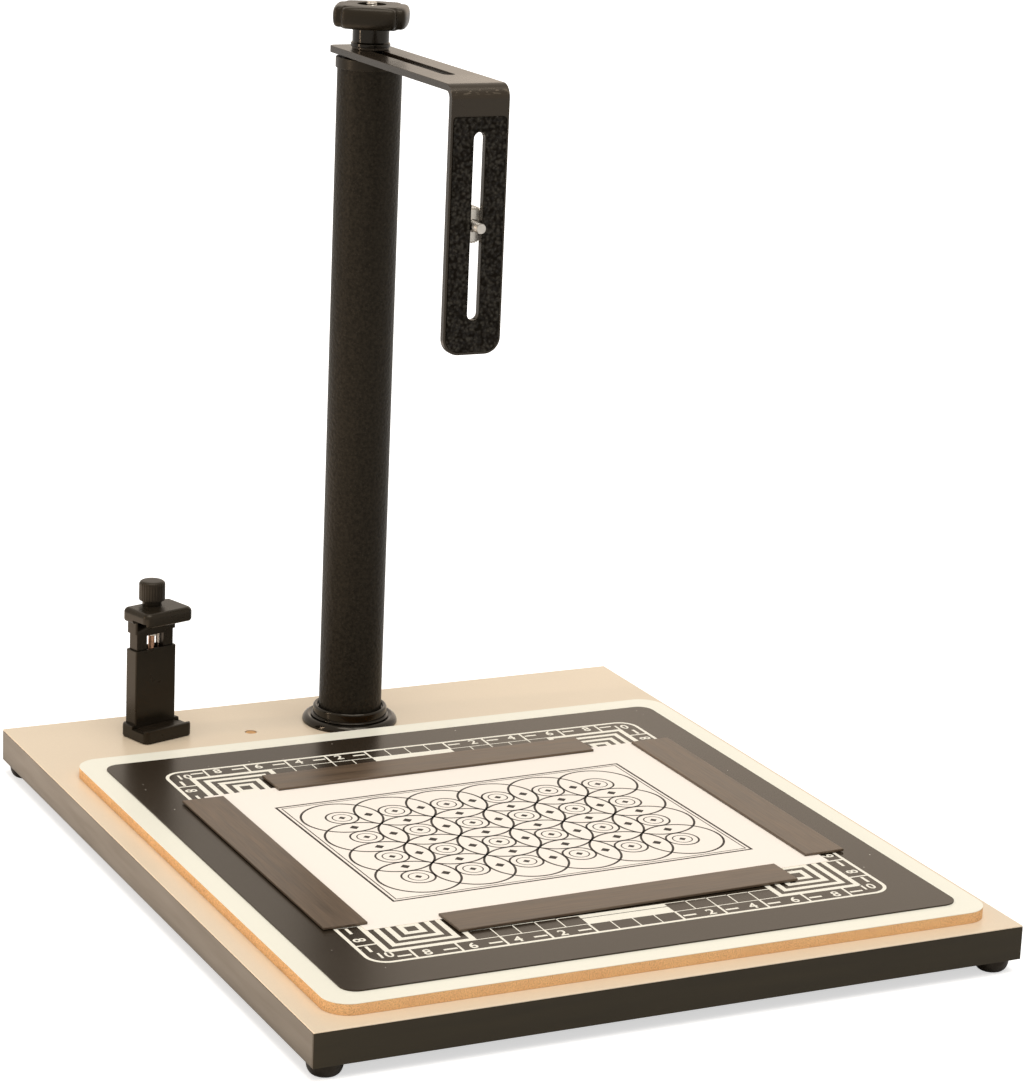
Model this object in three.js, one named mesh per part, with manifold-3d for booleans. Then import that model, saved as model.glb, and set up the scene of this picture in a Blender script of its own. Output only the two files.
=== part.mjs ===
// Copy stand: a baseboard with a round column, a slotted swing bracket that holds a camera
// over the board, a removable magnetic board with four bars and a sample sheet, and a loose
// phone clamp. Millimetres, +Z up. The origin is the centre of the footprint on the surface
// under the feet, the column stands towards +Y and the operator sits at -Y.

import * as THREE from 'three';
import { mergeVertices } from 'three/addons/utils/BufferGeometryUtils.js';
import Module from 'manifold-3d';

const wasm = await Module();
wasm.setup();

const degree = Math.PI / 180;

// Gaps between pieces, and how far a cutter runs past what it cuts
const clearance = 0.3;
const restGap = 0.05;
const overrun = 1;

// Facets round a turned piece and steps in a rounded edge
const columnFacets = 48;
const turnedFacets = 28;
const smallFacets = 18;
const hexFacets = 6;
const arcSteps = 8;
const smallArcSteps = 4;
const edgeSteps = 2;
const waveSteps = 4;

// Baseboard: a laminated particle board with a dark band on each edge
const baseWidth = 406.4;
const baseDepth = 482.6;
const baseThickness = 19.05;
const laminateThickness = 0.8;
const laminateBevel = 0.3;
const bandThickness = 1;

// Feet: domed rubber bumpers, each with a pan-head screw in its recess
const footRadius = 9.5;
const footHeight = 8;
const footTreadRadius = 6.2;
const footDomeHeight = 5;
const footInset = 11;
const footRecessDepth = 3.4;
const footScrewRadius = 1.6;
const footScrewLength = 15;
const footScrewHeadRadius = 3.4;
const footScrewHeadHeight = 2.4;
const footScrewTopShare = 0.8;

// Wood plug that fills a spare hole left of the column, a little below the surface
const plugRadius = 3.3;
const plugLength = 9;
const plugSink = 0.5;
const plugFromColumn = 65.7;
const plugForward = 2.3;

// Column: a round tube held by a bolt from below, with a plug at each end
const columnOffset = 1.5;
const columnFromBack = 49.6;
const columnRadius = 19.05;
const columnWall = 1.65;
const armHeight = 406.4;
const bottomPlugLength = 26;
const topPlugLength = 22;
const endPlugChamfer = 1;

// Column bolt, its washer and the counterbore under the board
const boltRadius = 4;
const boltReach = 20;
const boltHeadRadius = 7.2;
const boltHeadHeight = 5.2;
const boltWasherRadius = 11;
const boltWasherThickness = 1.6;
const counterboreDepth = 8.2;

// Flange: a moulded ring that covers the foot of the column
const flangeRadius = 29;
const flangeEdge = 1.2;
const flangeShoulderRadius = 23.4;
const flangeShoulder = 4.6;
const flangeNeckRadius = 22.5;
const flangeHeight = 10.5;
const flangeGroove = 1.2;
const flangeGrooveDepth = 3.4;

// Cap on top of the column, and the fibre disc that the bracket turns on
const capThickness = 2;
const capWall = 0.75;
const capSkirt = 6.05;
const capChamfer = 0.4;
const discRadius = 15;
const discThickness = 0.8;

// Threaded stud that stands out of the column through the bracket and the knob
const studRadius = 3.175;
const studProud = 1.4;
const studChamfer = 0.7;

// Bracket: one flat bar bent down at its front end, slotted in both legs
const barWidth = 35;
const barThickness = 4;
const bendRadius = 8;
const armReach = 151.2;
const armTail = 22.3;
const tailCornerRadius = 3;
const legLength = 150;
const legCornerRadius = 9.5;
const slotWidth = 7.1;
const armSlotTail = 8.5;
const armSlotFront = 39.7;
const legSlotFoot = 19.55;
const legSlotHead = 25.95;

// Grip pad on the front of the bracket's leg
const padThickness = 1.2;
const padInset = 1.5;
const padHead = 17.45;
const padTopRadius = 2;
const padSlotMargin = 0.2;

// Clamping knob: a washer, a round boss and four broad lobes on a brass insert
const knobWasherRadius = 10.8;
const knobWasherThickness = 1.6;
const bossRadius = 10.75;
const bossHeight = 10.95;
const bossFootRadius = 11.6;
const bossFootHeight = 2;
const bossFootSlope = 0.8;
const lobeReach = 22;
const lobeStep = 5.7;
const lobeHeight = 13.5;
const lobeCrown = 0.8;
const lobeBevel = 2.4;
const lobeCornerShare = 0.7;
const lobeNotchShare = 0.28;
const knobRecessRadius = 8.5;
const knobRecessDepth = 3;
const insertRadius = 5;
const insertLength = 12;
const knobTurn = -28.8 * degree;

// Camera screw: a knurled thumbscrew through the slot in the leg
const cameraScrewHeadRadius = 10.5;
const cameraScrewHeadHeight = 9;
const cameraScrewEdge = 0.8;
const cameraScrewProud = 5.5;
const cameraWasherRadius = 9;
const cameraWasherThickness = 1.6;
const knurlDepth = 0.5;
const knurlCount = 20;

// Magnetic board: a core with a pale face, and a thin ferrous mat on it
const boardFrontMargin = 12;
const boardSideMargin = 12.7;
const boardBackGap = 8;
const boardCoreThickness = 5.85;
const boardFaceThickness = 0.5;
const boardCornerRadius = 14.5;
const matMargin = 12.7;
const matBackMargin = 15.7;
const matThickness = 0.8;
const matCornerRadius = 9;

// Sample sheet and the four magnetic bars that hold it
const sheetWidth = 279.4;
const sheetDepth = 215.9;
const sheetThickness = 0.3;
const sheetTurn = 1.5 * degree;
const sheetPlaceShare = [0.0014, 0.0112];
const barLength = 203.2;
const barDepth = 24.5;
const magnetThickness = 1.5;
const magnetBevel = 0.3;
const magnetPlaces = [
  { name: 'magnet_bar_left', placeShare: [-0.4072, 0.0025], turn: 90 * degree },
  { name: 'magnet_bar_right', placeShare: [0.41, 0.0326], turn: 90.2 * degree },
  { name: 'magnet_bar_front', placeShare: [0.0245, -0.3144], turn: 1.5 * degree },
  { name: 'magnet_bar_back', placeShare: [0.0084, 0.3313], turn: 1.1 * degree },
];

// Phone clamp: where it stands and its two jaws
const clampFromLeft = 79.56;
const clampFromBack = 28.69;
const clampTurn = 17 * degree;
const jawWidth = 35;
const jawDepth = 25.2;
const jawHeight = 8.45;
const jawCornerRadius = 3.5;
const jawEdge = 1.2;
const jawBackLip = 1;
const jawLip = 2.2;
const jawLipHeight = 2.3;
const jawSpan = 80.4;
const jawPadThickness = 0.8;

// Phone clamp's upright body with its sliding neck
const bodyWidth = 29.6;
const bodyDepth = 10.4;
const bodyHeight = 54.2;
const bodyWall = 1.1;
const bodyCornerRadius = 1.2;
const bodyEdge = 0.5;
const neckWidth = 29.4;
const neckDepth = 9.4;
const neckDrop = 7.5;
const slideWindow = 12.2;
const slideBridge = 1.9;
const slideEngagement = 33;
const guideRodRadius = 0.45;

// Phone clamp's screw, nut, retaining ring, knob and tripod insert
const clampScrewRadius = 2;
const clampScrewTail = 1;
const clampScrewGrip = 7;
const nutRadius = 4.04;
const nutHeight = 3.2;
const nutBossWidth = 9;
const nutBossHeight = 9;
const nutBossDrop = 5.2;
const ringRadius = 3.6;
const ringThickness = 1;
const clampKnobRadius = 7.8;
const clampKnobHeight = 11.8;
const clampKnobEdge = 1.8;
const clampKnobNeckRadius = 5.75;
const clampKnobNeckHeight = 2.8;
const fluteDepth = 0.35;
const fluteCount = 20;
const tripodInsertRadius = 4.6;
const tripodInsertLength = 5.4;
const tripodBoreRadius = 3.3;

// Places worked out from the sizes above
const underside = footHeight;
const coreWidth = baseWidth - 2 * bandThickness;
const coreDepth = baseDepth - 2 * bandThickness;
const coreBottom = underside + laminateThickness;
const baseTop = underside + baseThickness;
const coreTop = baseTop - laminateThickness;
const columnX = columnOffset;
const columnY = baseDepth / 2 - columnFromBack;
const columnBore = columnRadius - columnWall;
const armUnderside = baseTop + armHeight;
const capTop = armUnderside - discThickness;
const tubeTop = capTop - capThickness;
const boltCeiling = underside + counterboreDepth;
const studBore = studRadius + clearance;
const knobBase = barThickness + knobWasherThickness;
const knobRim = knobBase + bossHeight + lobeHeight;
const legFoot = barThickness - legLength;
const legSlotBottom = legFoot + legSlotFoot;
const legSlotTop = barThickness - legSlotHead;
const boardFront = boardFrontMargin - baseDepth / 2;
const boardBack = columnY - flangeRadius - boardBackGap;
const boardWidth = baseWidth - 2 * boardSideMargin;
const boardDepth = boardBack - boardFront;
const boardY = (boardFront + boardBack) / 2;
const matWidth = boardWidth - 2 * matMargin;
const matDepth = boardDepth - matMargin - matBackMargin;
const matY = (matMargin - matBackMargin) / 2;
const matBottom = boardCoreThickness + boardFaceThickness;
const matTop = matBottom + matThickness;
const sheetBottom = matTop + restGap;
const magnetBottom = sheetBottom + sheetThickness + restGap;
const clampX = clampFromLeft - baseWidth / 2;
const clampY = baseDepth / 2 - clampFromBack;
const bodyAxisY = -bodyDepth / 2;
const jawY = jawBackLip - jawDepth / 2;
const jawFront = jawBackLip - jawDepth;
const jawUnderside = jawSpan - jawHeight;
const neckBottom = jawUnderside - neckDrop;
const bridgeBottom = neckBottom - slideBridge;
const slideBottom = bodyHeight - slideEngagement;
const innerWidth = bodyWidth - 2 * bodyWall;
const innerDepth = bodyDepth - 2 * bodyWall;
const clampBore = clampScrewRadius + clearance;
const nutBossTop = bodyHeight - nutBossDrop;
const clampScrewBottom = slideBottom - clampScrewTail;
const clampKnobBottom = jawSpan + restGap;
const clampScrewTop = clampKnobBottom + clampKnobNeckHeight + clampScrewGrip;

// Finishes
function finish(color, roughness, metalness) {
  return new THREE.MeshStandardMaterial({ color, roughness, metalness });
}
const beigeLaminate = finish(0xe6d8c0, 0.45, 0);
const particleBoard = finish(0xb98f63, 0.9, 0);
const backerSheet = finish(0x4a4038, 0.8, 0);
const darkBand = finish(0x241f1a, 0.45, 0);
const blackRubber = finish(0x17140f, 0.7, 0);
const rawWood = finish(0xd79a5e, 0.85, 0);
const texturedBlack = finish(0x1b1814, 0.55, 0.2);
const glossBlack = finish(0x14110e, 0.2, 0);
const mouldedBlack = finish(0x1f1b17, 0.5, 0);
const satinBlack = finish(0x24201b, 0.35, 0.3);
const zincSteel = finish(0xc9c6be, 0.3, 1);
const brass = finish(0xb98a4a, 0.35, 1);
const darkFibre = finish(0x2b2722, 0.85, 0);
const boardFibre = finish(0xd79b62, 0.85, 0);
const paleFace = finish(0xfbf3e4, 0.4, 0);
const matBlack = finish(0x241f1b, 0.5, 0);
const paperWhite = finish(0xfbf6ee, 0.8, 0);
const magnetBrown = finish(0x3b332c, 0.5, 0);

// Solids for cutting and joining, without the empty triangles where a turned piece meets its axis
function solidOf(geometry) {
  const bare = geometry.clone();
  bare.deleteAttribute('normal');
  bare.deleteAttribute('uv');
  const merged = mergeVertices(bare);
  const corners = merged.index.array;
  const triangles = [];
  for (let first = 0; first < corners.length; first += 3) {
    const [a, b, c] = corners.slice(first, first + 3);
    if (a !== b && b !== c && c !== a) {
      triangles.push(a, b, c);
    }
  }
  const mesh = new wasm.Mesh({
    numProp: 3,
    vertProperties: new Float32Array(merged.attributes.position.array),
    triVerts: new Uint32Array(triangles),
  });
  return new wasm.Manifold(mesh);
}

function geometryOf(solid) {
  const mesh = solid.getMesh();
  const geometry = new THREE.BufferGeometry();
  geometry.setAttribute('position', new THREE.BufferAttribute(mesh.vertProperties, 3));
  geometry.setIndex(new THREE.BufferAttribute(mesh.triVerts, 1));
  const faceted = geometry.toNonIndexed();
  faceted.computeVertexNormals();
  return faceted;
}

function cut(geometry, ...tools) {
  let solid = solidOf(geometry);
  for (const tool of tools) {
    solid = solid.subtract(solidOf(tool));
  }
  return geometryOf(solid);
}

function join(geometry, ...others) {
  let solid = solidOf(geometry);
  for (const other of others) {
    solid = solid.add(solidOf(other));
  }
  return geometryOf(solid);
}

function trim(geometry, ...outlines) {
  let solid = solidOf(geometry);
  for (const outline of outlines) {
    solid = solid.intersect(solidOf(outline));
  }
  return geometryOf(solid);
}

// Flat outlines, centred on the origin
function rectangle(width, depth) {
  const shape = new THREE.Shape();
  shape.moveTo(-width / 2, -depth / 2);
  shape.lineTo(width / 2, -depth / 2);
  shape.lineTo(width / 2, depth / 2);
  shape.lineTo(-width / 2, depth / 2);
  shape.closePath();
  return shape;
}

function roundedRectangle(width, depth, frontRadius, backRadius = frontRadius) {
  const right = width / 2;
  const back = depth / 2;
  const shape = new THREE.Shape();
  shape.moveTo(-right + frontRadius, -back);
  shape.absarc(right - frontRadius, -back + frontRadius, frontRadius, -Math.PI / 2, 0, false);
  shape.absarc(right - backRadius, back - backRadius, backRadius, 0, Math.PI / 2, false);
  shape.absarc(-right + backRadius, back - backRadius, backRadius, Math.PI / 2, Math.PI, false);
  shape.absarc(-right + frontRadius, -back + frontRadius, frontRadius, Math.PI, 1.5 * Math.PI, false);
  shape.closePath();
  return shape;
}

// A slot with round ends, from one end to the other along Y
function slotOutline(width, from, to) {
  const radius = width / 2;
  const shape = new THREE.Shape();
  shape.moveTo(-radius, from + radius);
  shape.absarc(0, from + radius, radius, Math.PI, 2 * Math.PI, false);
  shape.absarc(0, to - radius, radius, 0, Math.PI, false);
  shape.closePath();
  return shape;
}

// A rectangle from one Y to another whose corners at the first end are rounded
function tongueOutline(width, from, to, cornerRadius) {
  const half = width / 2;
  const shape = new THREE.Shape();
  shape.moveTo(-half, to);
  shape.lineTo(-half, from + cornerRadius);
  shape.absarc(-half + cornerRadius, from + cornerRadius, cornerRadius, Math.PI, 1.5 * Math.PI, false);
  shape.absarc(half - cornerRadius, from + cornerRadius, cornerRadius, -Math.PI / 2, 0, false);
  shape.lineTo(half, to);
  shape.closePath();
  return shape;
}

// A round outline whose rim waves in and out, for a knurled or fluted grip
function wavyOutline(radius, depth, count) {
  const points = [];
  for (let step = 0; step < count * waveSteps; step += 1) {
    const phase = (2 * Math.PI * step) / waveSteps;
    const angle = phase / count;
    const reach = radius - (depth * (1 - Math.cos(phase))) / 2;
    points.push(new THREE.Vector2(reach * Math.cos(angle), reach * Math.sin(angle)));
  }
  return new THREE.Shape(points);
}

// Prisms and turned pieces, standing on z = 0
function slab(shape, height, bevel = 0, steps = arcSteps) {
  const geometry = new THREE.ExtrudeGeometry(shape, {
    depth: height - 2 * bevel,
    bevelEnabled: bevel > 0,
    bevelThickness: bevel,
    bevelSize: bevel,
    bevelOffset: -bevel,
    bevelSegments: edgeSteps,
    curveSegments: steps,
  });
  return geometry.translate(0, 0, bevel);
}

function rod(radius, length, facets = smallFacets) {
  const geometry = new THREE.CylinderGeometry(radius, radius, length, facets);
  return geometry.rotateX(Math.PI / 2).translate(0, 0, length / 2);
}

function turned(profile, facets = turnedFacets) {
  const points = profile.map(([radius, height]) => new THREE.Vector2(radius, height));
  return new THREE.LatheGeometry(points, facets).rotateX(Math.PI / 2);
}

// A ring with a square section, chamfered on its outer edges
function ring(outer, inner, height, chamfer = 0, facets = turnedFacets) {
  const profile = [
    [inner, 0],
    [outer - chamfer, 0],
    [outer, chamfer],
    [outer, height - chamfer],
    [outer - chamfer, height],
    [inner, height],
    [inner, 0],
  ];
  const plain = [
    [inner, 0],
    [outer, 0],
    [outer, height],
    [inner, height],
    [inner, 0],
  ];
  return turned(chamfer > 0 ? profile : plain, facets);
}

// Points of an arc in a turned profile, from one angle to another
function arc(centreRadius, centreHeight, radius, from, to) {
  const points = [];
  for (let step = 0; step <= edgeSteps; step += 1) {
    const angle = from + ((to - from) * step) / edgeSteps;
    points.push([centreRadius + radius * Math.cos(angle), centreHeight + radius * Math.sin(angle)]);
  }
  return points;
}

function piece(name, geometry, material) {
  const mesh = new THREE.Mesh(geometry, material);
  mesh.name = name;
  return mesh;
}

function placed(mesh, x, y, z) {
  mesh.position.set(x, y, z);
  return mesh;
}

// A drill for one hole in the baseboard's layers
function drill(x, y, radius, from, to) {
  return rod(radius, to - from).translate(x, y, from);
}

// Holes shared by the layers of the baseboard
const footX = baseWidth / 2 - footInset;
const footY = baseDepth / 2 - footInset;
const footPlaces = [
  { corner: 'front_left', x: -footX, y: -footY },
  { corner: 'front_right', x: footX, y: -footY },
  { corner: 'back_left', x: -footX, y: footY },
  { corner: 'back_right', x: footX, y: footY },
];
const plugX = columnX - plugFromColumn;
const plugY = columnY - plugForward;
const plugBottom = baseTop - plugSink - plugLength;
const footScrewTop = footRecessDepth + footScrewLength;

function boltHole() {
  return drill(columnX, columnY, boltRadius + clearance, underside - overrun, baseTop + overrun);
}

function boltCounterbore() {
  return drill(columnX, columnY, boltWasherRadius + clearance, underside - overrun, boltCeiling);
}

function plugHole() {
  return drill(plugX, plugY, plugRadius + clearance, plugBottom, baseTop + overrun);
}

function footScrewHoles() {
  const radius = footScrewRadius + clearance;
  const top = footScrewTop + clearance;
  return footPlaces.map((place) => drill(place.x, place.y, radius, underside - overrun, top));
}

function baseCore() {
  const layer = slab(rectangle(coreWidth, coreDepth), coreTop - coreBottom).translate(0, 0, coreBottom);
  const drilled = cut(layer, boltHole(), boltCounterbore(), plugHole(), ...footScrewHoles());
  return piece('base_core', drilled, particleBoard);
}

function baseLaminate() {
  const layer = slab(rectangle(baseWidth, baseDepth), laminateThickness, laminateBevel);
  const drilled = cut(layer.translate(0, 0, coreTop), boltHole(), plugHole());
  return piece('base_laminate', drilled, beigeLaminate);
}

function baseBacker() {
  const layer = slab(rectangle(coreWidth, coreDepth), laminateThickness).translate(0, 0, underside);
  const drilled = cut(layer, boltCounterbore(), ...footScrewHoles());
  return piece('base_backer', drilled, backerSheet);
}

function edgeBands() {
  const height = coreTop - underside;
  const x = (baseWidth - bandThickness) / 2;
  const y = (baseDepth - bandThickness) / 2;
  const long = slab(rectangle(baseWidth, bandThickness), height);
  const short = slab(rectangle(bandThickness, coreDepth), height);
  return [
    placed(piece('edge_band_front', long, darkBand), 0, -y, underside),
    placed(piece('edge_band_back', long, darkBand), 0, y, underside),
    placed(piece('edge_band_left', short, darkBand), -x, 0, underside),
    placed(piece('edge_band_right', short, darkBand), x, 0, underside),
  ];
}

function basePlug() {
  const plug = rod(plugRadius, plugLength);
  return placed(piece('base_hole_plug', plug, rawWood), plugX, plugY, plugBottom);
}

// A foot bulges from its tread out to its full radius, then runs straight up
function footGeometry() {
  const bore = footScrewRadius + clearance;
  const recess = footScrewHeadRadius + clearance;
  const bulge = [];
  for (let step = 0; step <= smallArcSteps; step += 1) {
    const angle = (Math.PI / 2) * (step / smallArcSteps);
    const radius = footTreadRadius + (footRadius - footTreadRadius) * Math.sin(angle);
    bulge.push([radius, footDomeHeight * (1 - Math.cos(angle))]);
  }
  return turned([
    [recess, 0],
    ...bulge,
    [footRadius, footHeight],
    [bore, footHeight],
    [bore, footRecessDepth],
    [recess, footRecessDepth],
    [recess, 0],
  ], smallFacets);
}

function footScrewGeometry() {
  const seat = footRecessDepth;
  return turned([
    [0, seat - footScrewHeadHeight],
    [footScrewHeadRadius * footScrewTopShare, seat - footScrewHeadHeight],
    [footScrewHeadRadius, seat - footScrewHeadHeight / 2],
    [footScrewHeadRadius, seat],
    [footScrewRadius, seat],
    [footScrewRadius, footScrewTop - footScrewRadius],
    [0, footScrewTop],
  ], smallFacets);
}

function feet() {
  return footPlaces.flatMap(({ corner, x, y }) => {
    const foot = piece(`foot_${corner}`, footGeometry(), blackRubber);
    const screw = piece(`foot_screw_${corner}`, footScrewGeometry(), zincSteel);
    return [placed(foot, x, y, 0), placed(screw, x, y, 0)];
  });
}

function baseboard() {
  const group = new THREE.Group();
  group.add(baseCore(), baseLaminate(), baseBacker(), ...edgeBands(), basePlug(), ...feet());
  return group;
}

// The flange slopes up to a shoulder and a round-topped neck with a groove behind its crest
function flangeGeometry() {
  const bore = columnRadius + clearance;
  const grooveRadius = bore + flangeGroove;
  const crest = (flangeNeckRadius - grooveRadius) / 2;
  const crestTop = arc(grooveRadius + crest, flangeHeight - crest, crest, 0, Math.PI);
  return turned([
    [bore, 0],
    [flangeRadius, 0],
    [flangeRadius, flangeEdge],
    [flangeShoulderRadius, flangeShoulder],
    [flangeNeckRadius, flangeShoulder + flangeShoulderRadius - flangeNeckRadius],
    ...crestTop,
    [grooveRadius, flangeHeight - flangeGrooveDepth],
    [bore, flangeHeight - flangeGrooveDepth - flangeGroove],
    [bore, 0],
  ], columnFacets);
}

function capGeometry() {
  const bore = columnRadius + clearance;
  const outer = bore + capWall;
  return turned([
    [bore, -capSkirt],
    [outer, -capSkirt],
    [outer, -capChamfer],
    [outer - capChamfer, 0],
    [studBore, 0],
    [studBore, -capThickness],
    [bore, -capThickness],
    [bore, -capSkirt],
  ], columnFacets);
}

function topPlugGeometry() {
  return ring(columnBore - clearance, studBore, topPlugLength, endPlugChamfer, smallFacets);
}

// The bottom plug is threaded from below for the column bolt
function bottomPlugGeometry() {
  const outer = columnBore - clearance;
  const bore = boltRadius + clearance;
  return turned([
    [bore, 0],
    [outer, 0],
    [outer, bottomPlugLength - endPlugChamfer],
    [outer - endPlugChamfer, bottomPlugLength],
    [0, bottomPlugLength],
    [0, boltReach + clearance],
    [bore, boltReach + clearance],
    [bore, 0],
  ], smallFacets);
}

function studGeometry(length) {
  return turned([
    [0, 0],
    [studRadius, 0],
    [studRadius, length - studChamfer],
    [studRadius - studChamfer, length],
    [0, length],
  ], smallFacets);
}

function boltGeometry() {
  const seat = boltCeiling - boltWasherThickness;
  const head = rod(boltHeadRadius, boltHeadHeight, hexFacets).translate(0, 0, seat - boltHeadHeight);
  const shankBottom = seat - boltHeadHeight / 2;
  const shank = rod(boltRadius, baseTop + boltReach - shankBottom).translate(0, 0, shankBottom);
  return join(head, shank);
}

function column() {
  const group = new THREE.Group();
  group.position.set(columnX, columnY, 0);
  const tube = ring(columnRadius, columnBore, tubeTop - baseTop, 0, columnFacets);
  const washer = ring(boltWasherRadius, boltRadius + clearance, boltWasherThickness, 0, smallFacets);
  const washerBottom = boltCeiling - boltWasherThickness;
  const topPlugBottom = tubeTop - topPlugLength;
  const stud = studGeometry(armUnderside + knobRim + studProud - topPlugBottom);
  group.add(
    placed(piece('column_tube', tube, texturedBlack), 0, 0, baseTop),
    placed(piece('column_flange', flangeGeometry(), glossBlack), 0, 0, baseTop),
    placed(piece('column_bottom_plug', bottomPlugGeometry(), zincSteel), 0, 0, baseTop),
    placed(piece('column_top_plug', topPlugGeometry(), zincSteel), 0, 0, topPlugBottom),
    placed(piece('column_cap', capGeometry(), mouldedBlack), 0, 0, capTop),
    placed(piece('column_stud', stud, zincSteel), 0, 0, topPlugBottom),
    placed(piece('column_bolt_washer', washer, zincSteel), 0, 0, washerBottom),
    piece('column_bolt', boltGeometry(), zincSteel),
  );
  return group;
}

// The bar's bent side profile, with forward along the shape's X and up along its Y
function barProfile() {
  const bendCentre = armReach - bendRadius;
  const bendHeight = barThickness - bendRadius;
  const innerRadius = bendRadius - barThickness;
  const shape = new THREE.Shape();
  shape.moveTo(-armTail, 0);
  shape.lineTo(bendCentre, 0);
  shape.absarc(bendCentre, bendHeight, innerRadius, Math.PI / 2, 0, true);
  shape.lineTo(armReach - barThickness, legFoot);
  shape.lineTo(armReach, legFoot);
  shape.absarc(bendCentre, bendHeight, bendRadius, 0, Math.PI / 2, false);
  shape.lineTo(-armTail, barThickness);
  shape.closePath();
  return shape;
}

// Extrudes a side profile across the stand, forward of the profile becoming -Y
function acrossStand(shape, width) {
  const turn = new THREE.Matrix4().makeBasis(
    new THREE.Vector3(0, -1, 0),
    new THREE.Vector3(0, 0, 1),
    new THREE.Vector3(-1, 0, 0),
  );
  return slab(shape, width).applyMatrix4(turn).translate(width / 2, 0, 0);
}

// Extrudes a front outline towards the operator, from one Y to a nearer one
function towardsFront(shape, from, to) {
  return slab(shape, from - to).rotateX(Math.PI / 2).translate(0, from, 0);
}

function legSlotCutter(margin) {
  const width = slotWidth + 2 * margin;
  const shape = slotOutline(width, legSlotBottom - margin, legSlotTop + margin);
  return towardsFront(shape, barThickness - armReach + overrun, -armReach - padThickness - overrun);
}

function bracketGeometry() {
  const bar = acrossStand(barProfile(), barWidth + 2 * overrun);
  const front = tongueOutline(barWidth, legFoot, barThickness + overrun, legCornerRadius);
  const plan = tongueOutline(barWidth, -armTail, armReach + overrun, tailCornerRadius);
  const height = legLength + 2 * overrun;
  const frontTrim = towardsFront(front, armTail + overrun, -armReach - overrun);
  const planTrim = slab(plan, height).rotateZ(Math.PI).translate(0, 0, legFoot - overrun);
  const armSlot = slotOutline(slotWidth, armSlotFront - armReach, armSlotTail);
  const armCutter = slab(armSlot, barThickness + 2 * overrun).translate(0, 0, -overrun);
  return cut(trim(bar, frontTrim, planTrim), armCutter, legSlotCutter(0));
}

function padGeometry() {
  const width = barWidth - 2 * padInset;
  const bottom = legFoot + padInset;
  const top = barThickness - padHead;
  const outline = roundedRectangle(width, top - bottom, legCornerRadius - padInset, padTopRadius);
  const sheet = slab(outline, padThickness).rotateX(Math.PI / 2);
  return cut(sheet.translate(0, -armReach, (top + bottom) / 2), legSlotCutter(padSlotMargin));
}

// Four broad lobes with crowned ends, joined by small round notches
function lobeOutline() {
  const half = lobeReach - lobeCrown - lobeStep;
  const corner = lobeStep * lobeCornerShare;
  const notch = lobeStep * lobeNotchShare;
  const inner = lobeReach - lobeCrown - corner;
  const side = half - corner;
  const shape = new THREE.Shape();
  for (let lobe = 0; lobe < 4; lobe += 1) {
    const turn = (lobe * Math.PI) / 2;
    const cos = Math.cos(turn);
    const sin = Math.sin(turn);
    const at = (x, y) => [x * cos - y * sin, x * sin + y * cos];
    const quarter = Math.PI / 2;
    if (lobe === 0) {
      shape.moveTo(...at(inner, -half));
    }
    shape.absarc(...at(inner, -side), corner, turn - quarter, turn, false);
    shape.quadraticCurveTo(...at(lobeReach + lobeCrown, 0), ...at(lobeReach - lobeCrown, side));
    shape.absarc(...at(inner, side), corner, turn, turn + quarter, false);
    shape.absarc(...at(half + notch, half + notch), notch, turn - quarter, turn - 2 * quarter, true);
  }
  shape.closePath();
  return shape;
}

function starKnobGeometry() {
  const boss = turned([
    [0, 0],
    [bossFootRadius, 0],
    [bossFootRadius, bossFootHeight],
    [bossRadius, bossFootHeight + bossFootSlope],
    [bossRadius, bossHeight + lobeBevel],
    [0, bossHeight + lobeBevel],
  ]);
  const lobes = slab(lobeOutline(), lobeHeight, lobeBevel, smallArcSteps).translate(0, 0, bossHeight);
  const rim = bossHeight + lobeHeight;
  const recess = rod(knobRecessRadius, knobRecessDepth + overrun, turnedFacets);
  const bore = rod(studBore, rim + 2 * overrun).translate(0, 0, -overrun);
  const seat = rod(insertRadius + clearance, insertLength + overrun).translate(0, 0, -overrun);
  return cut(join(boss, lobes), recess.translate(0, 0, rim - knobRecessDepth), bore, seat);
}

function cameraScrewGeometry() {
  const head = wavyOutline(cameraScrewHeadRadius, knurlDepth, knurlCount);
  const back = slab(head, cameraScrewHeadHeight);
  const edge = ring(cameraScrewHeadRadius, 0, cameraScrewHeadHeight, cameraScrewEdge);
  const tip = cameraWasherThickness + barThickness + padThickness + cameraScrewProud;
  const shank = rod(studRadius, tip + overrun).translate(0, 0, -tip);
  return join(trim(edge, back), shank).rotateX(-Math.PI / 2);
}

// Everything at the column's head, with z = 0 at the underside of the arm
function swingArm() {
  const group = new THREE.Group();
  group.position.set(columnX, columnY, armUnderside);
  const disc = ring(discRadius, studBore, discThickness);
  const knobWasher = ring(knobWasherRadius, studBore, knobWasherThickness);
  const insert = ring(insertRadius, studBore, insertLength, 0, smallFacets);
  const knob = placed(piece('star_knob', starKnobGeometry(), mouldedBlack), 0, 0, knobBase);
  knob.rotation.z = knobTurn;
  const legBack = barThickness - armReach;
  const screwZ = (legSlotBottom + legSlotTop) / 2;
  const cameraWasher = ring(cameraWasherRadius, studBore, cameraWasherThickness).rotateX(-Math.PI / 2);
  const cameraScrew = piece('camera_screw', cameraScrewGeometry(), zincSteel);
  group.add(
    placed(piece('friction_disc', disc, darkFibre), 0, 0, -discThickness),
    piece('arm_bracket', bracketGeometry(), satinBlack),
    piece('bracket_pad', padGeometry(), blackRubber),
    placed(piece('knob_washer', knobWasher, satinBlack), 0, 0, barThickness),
    placed(piece('knob_insert', insert, brass), 0, 0, knobBase),
    knob,
    placed(piece('camera_screw_washer', cameraWasher, zincSteel), 0, legBack, screwZ),
    placed(cameraScrew, 0, legBack + cameraWasherThickness, screwZ),
  );
  return group;
}

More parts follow.
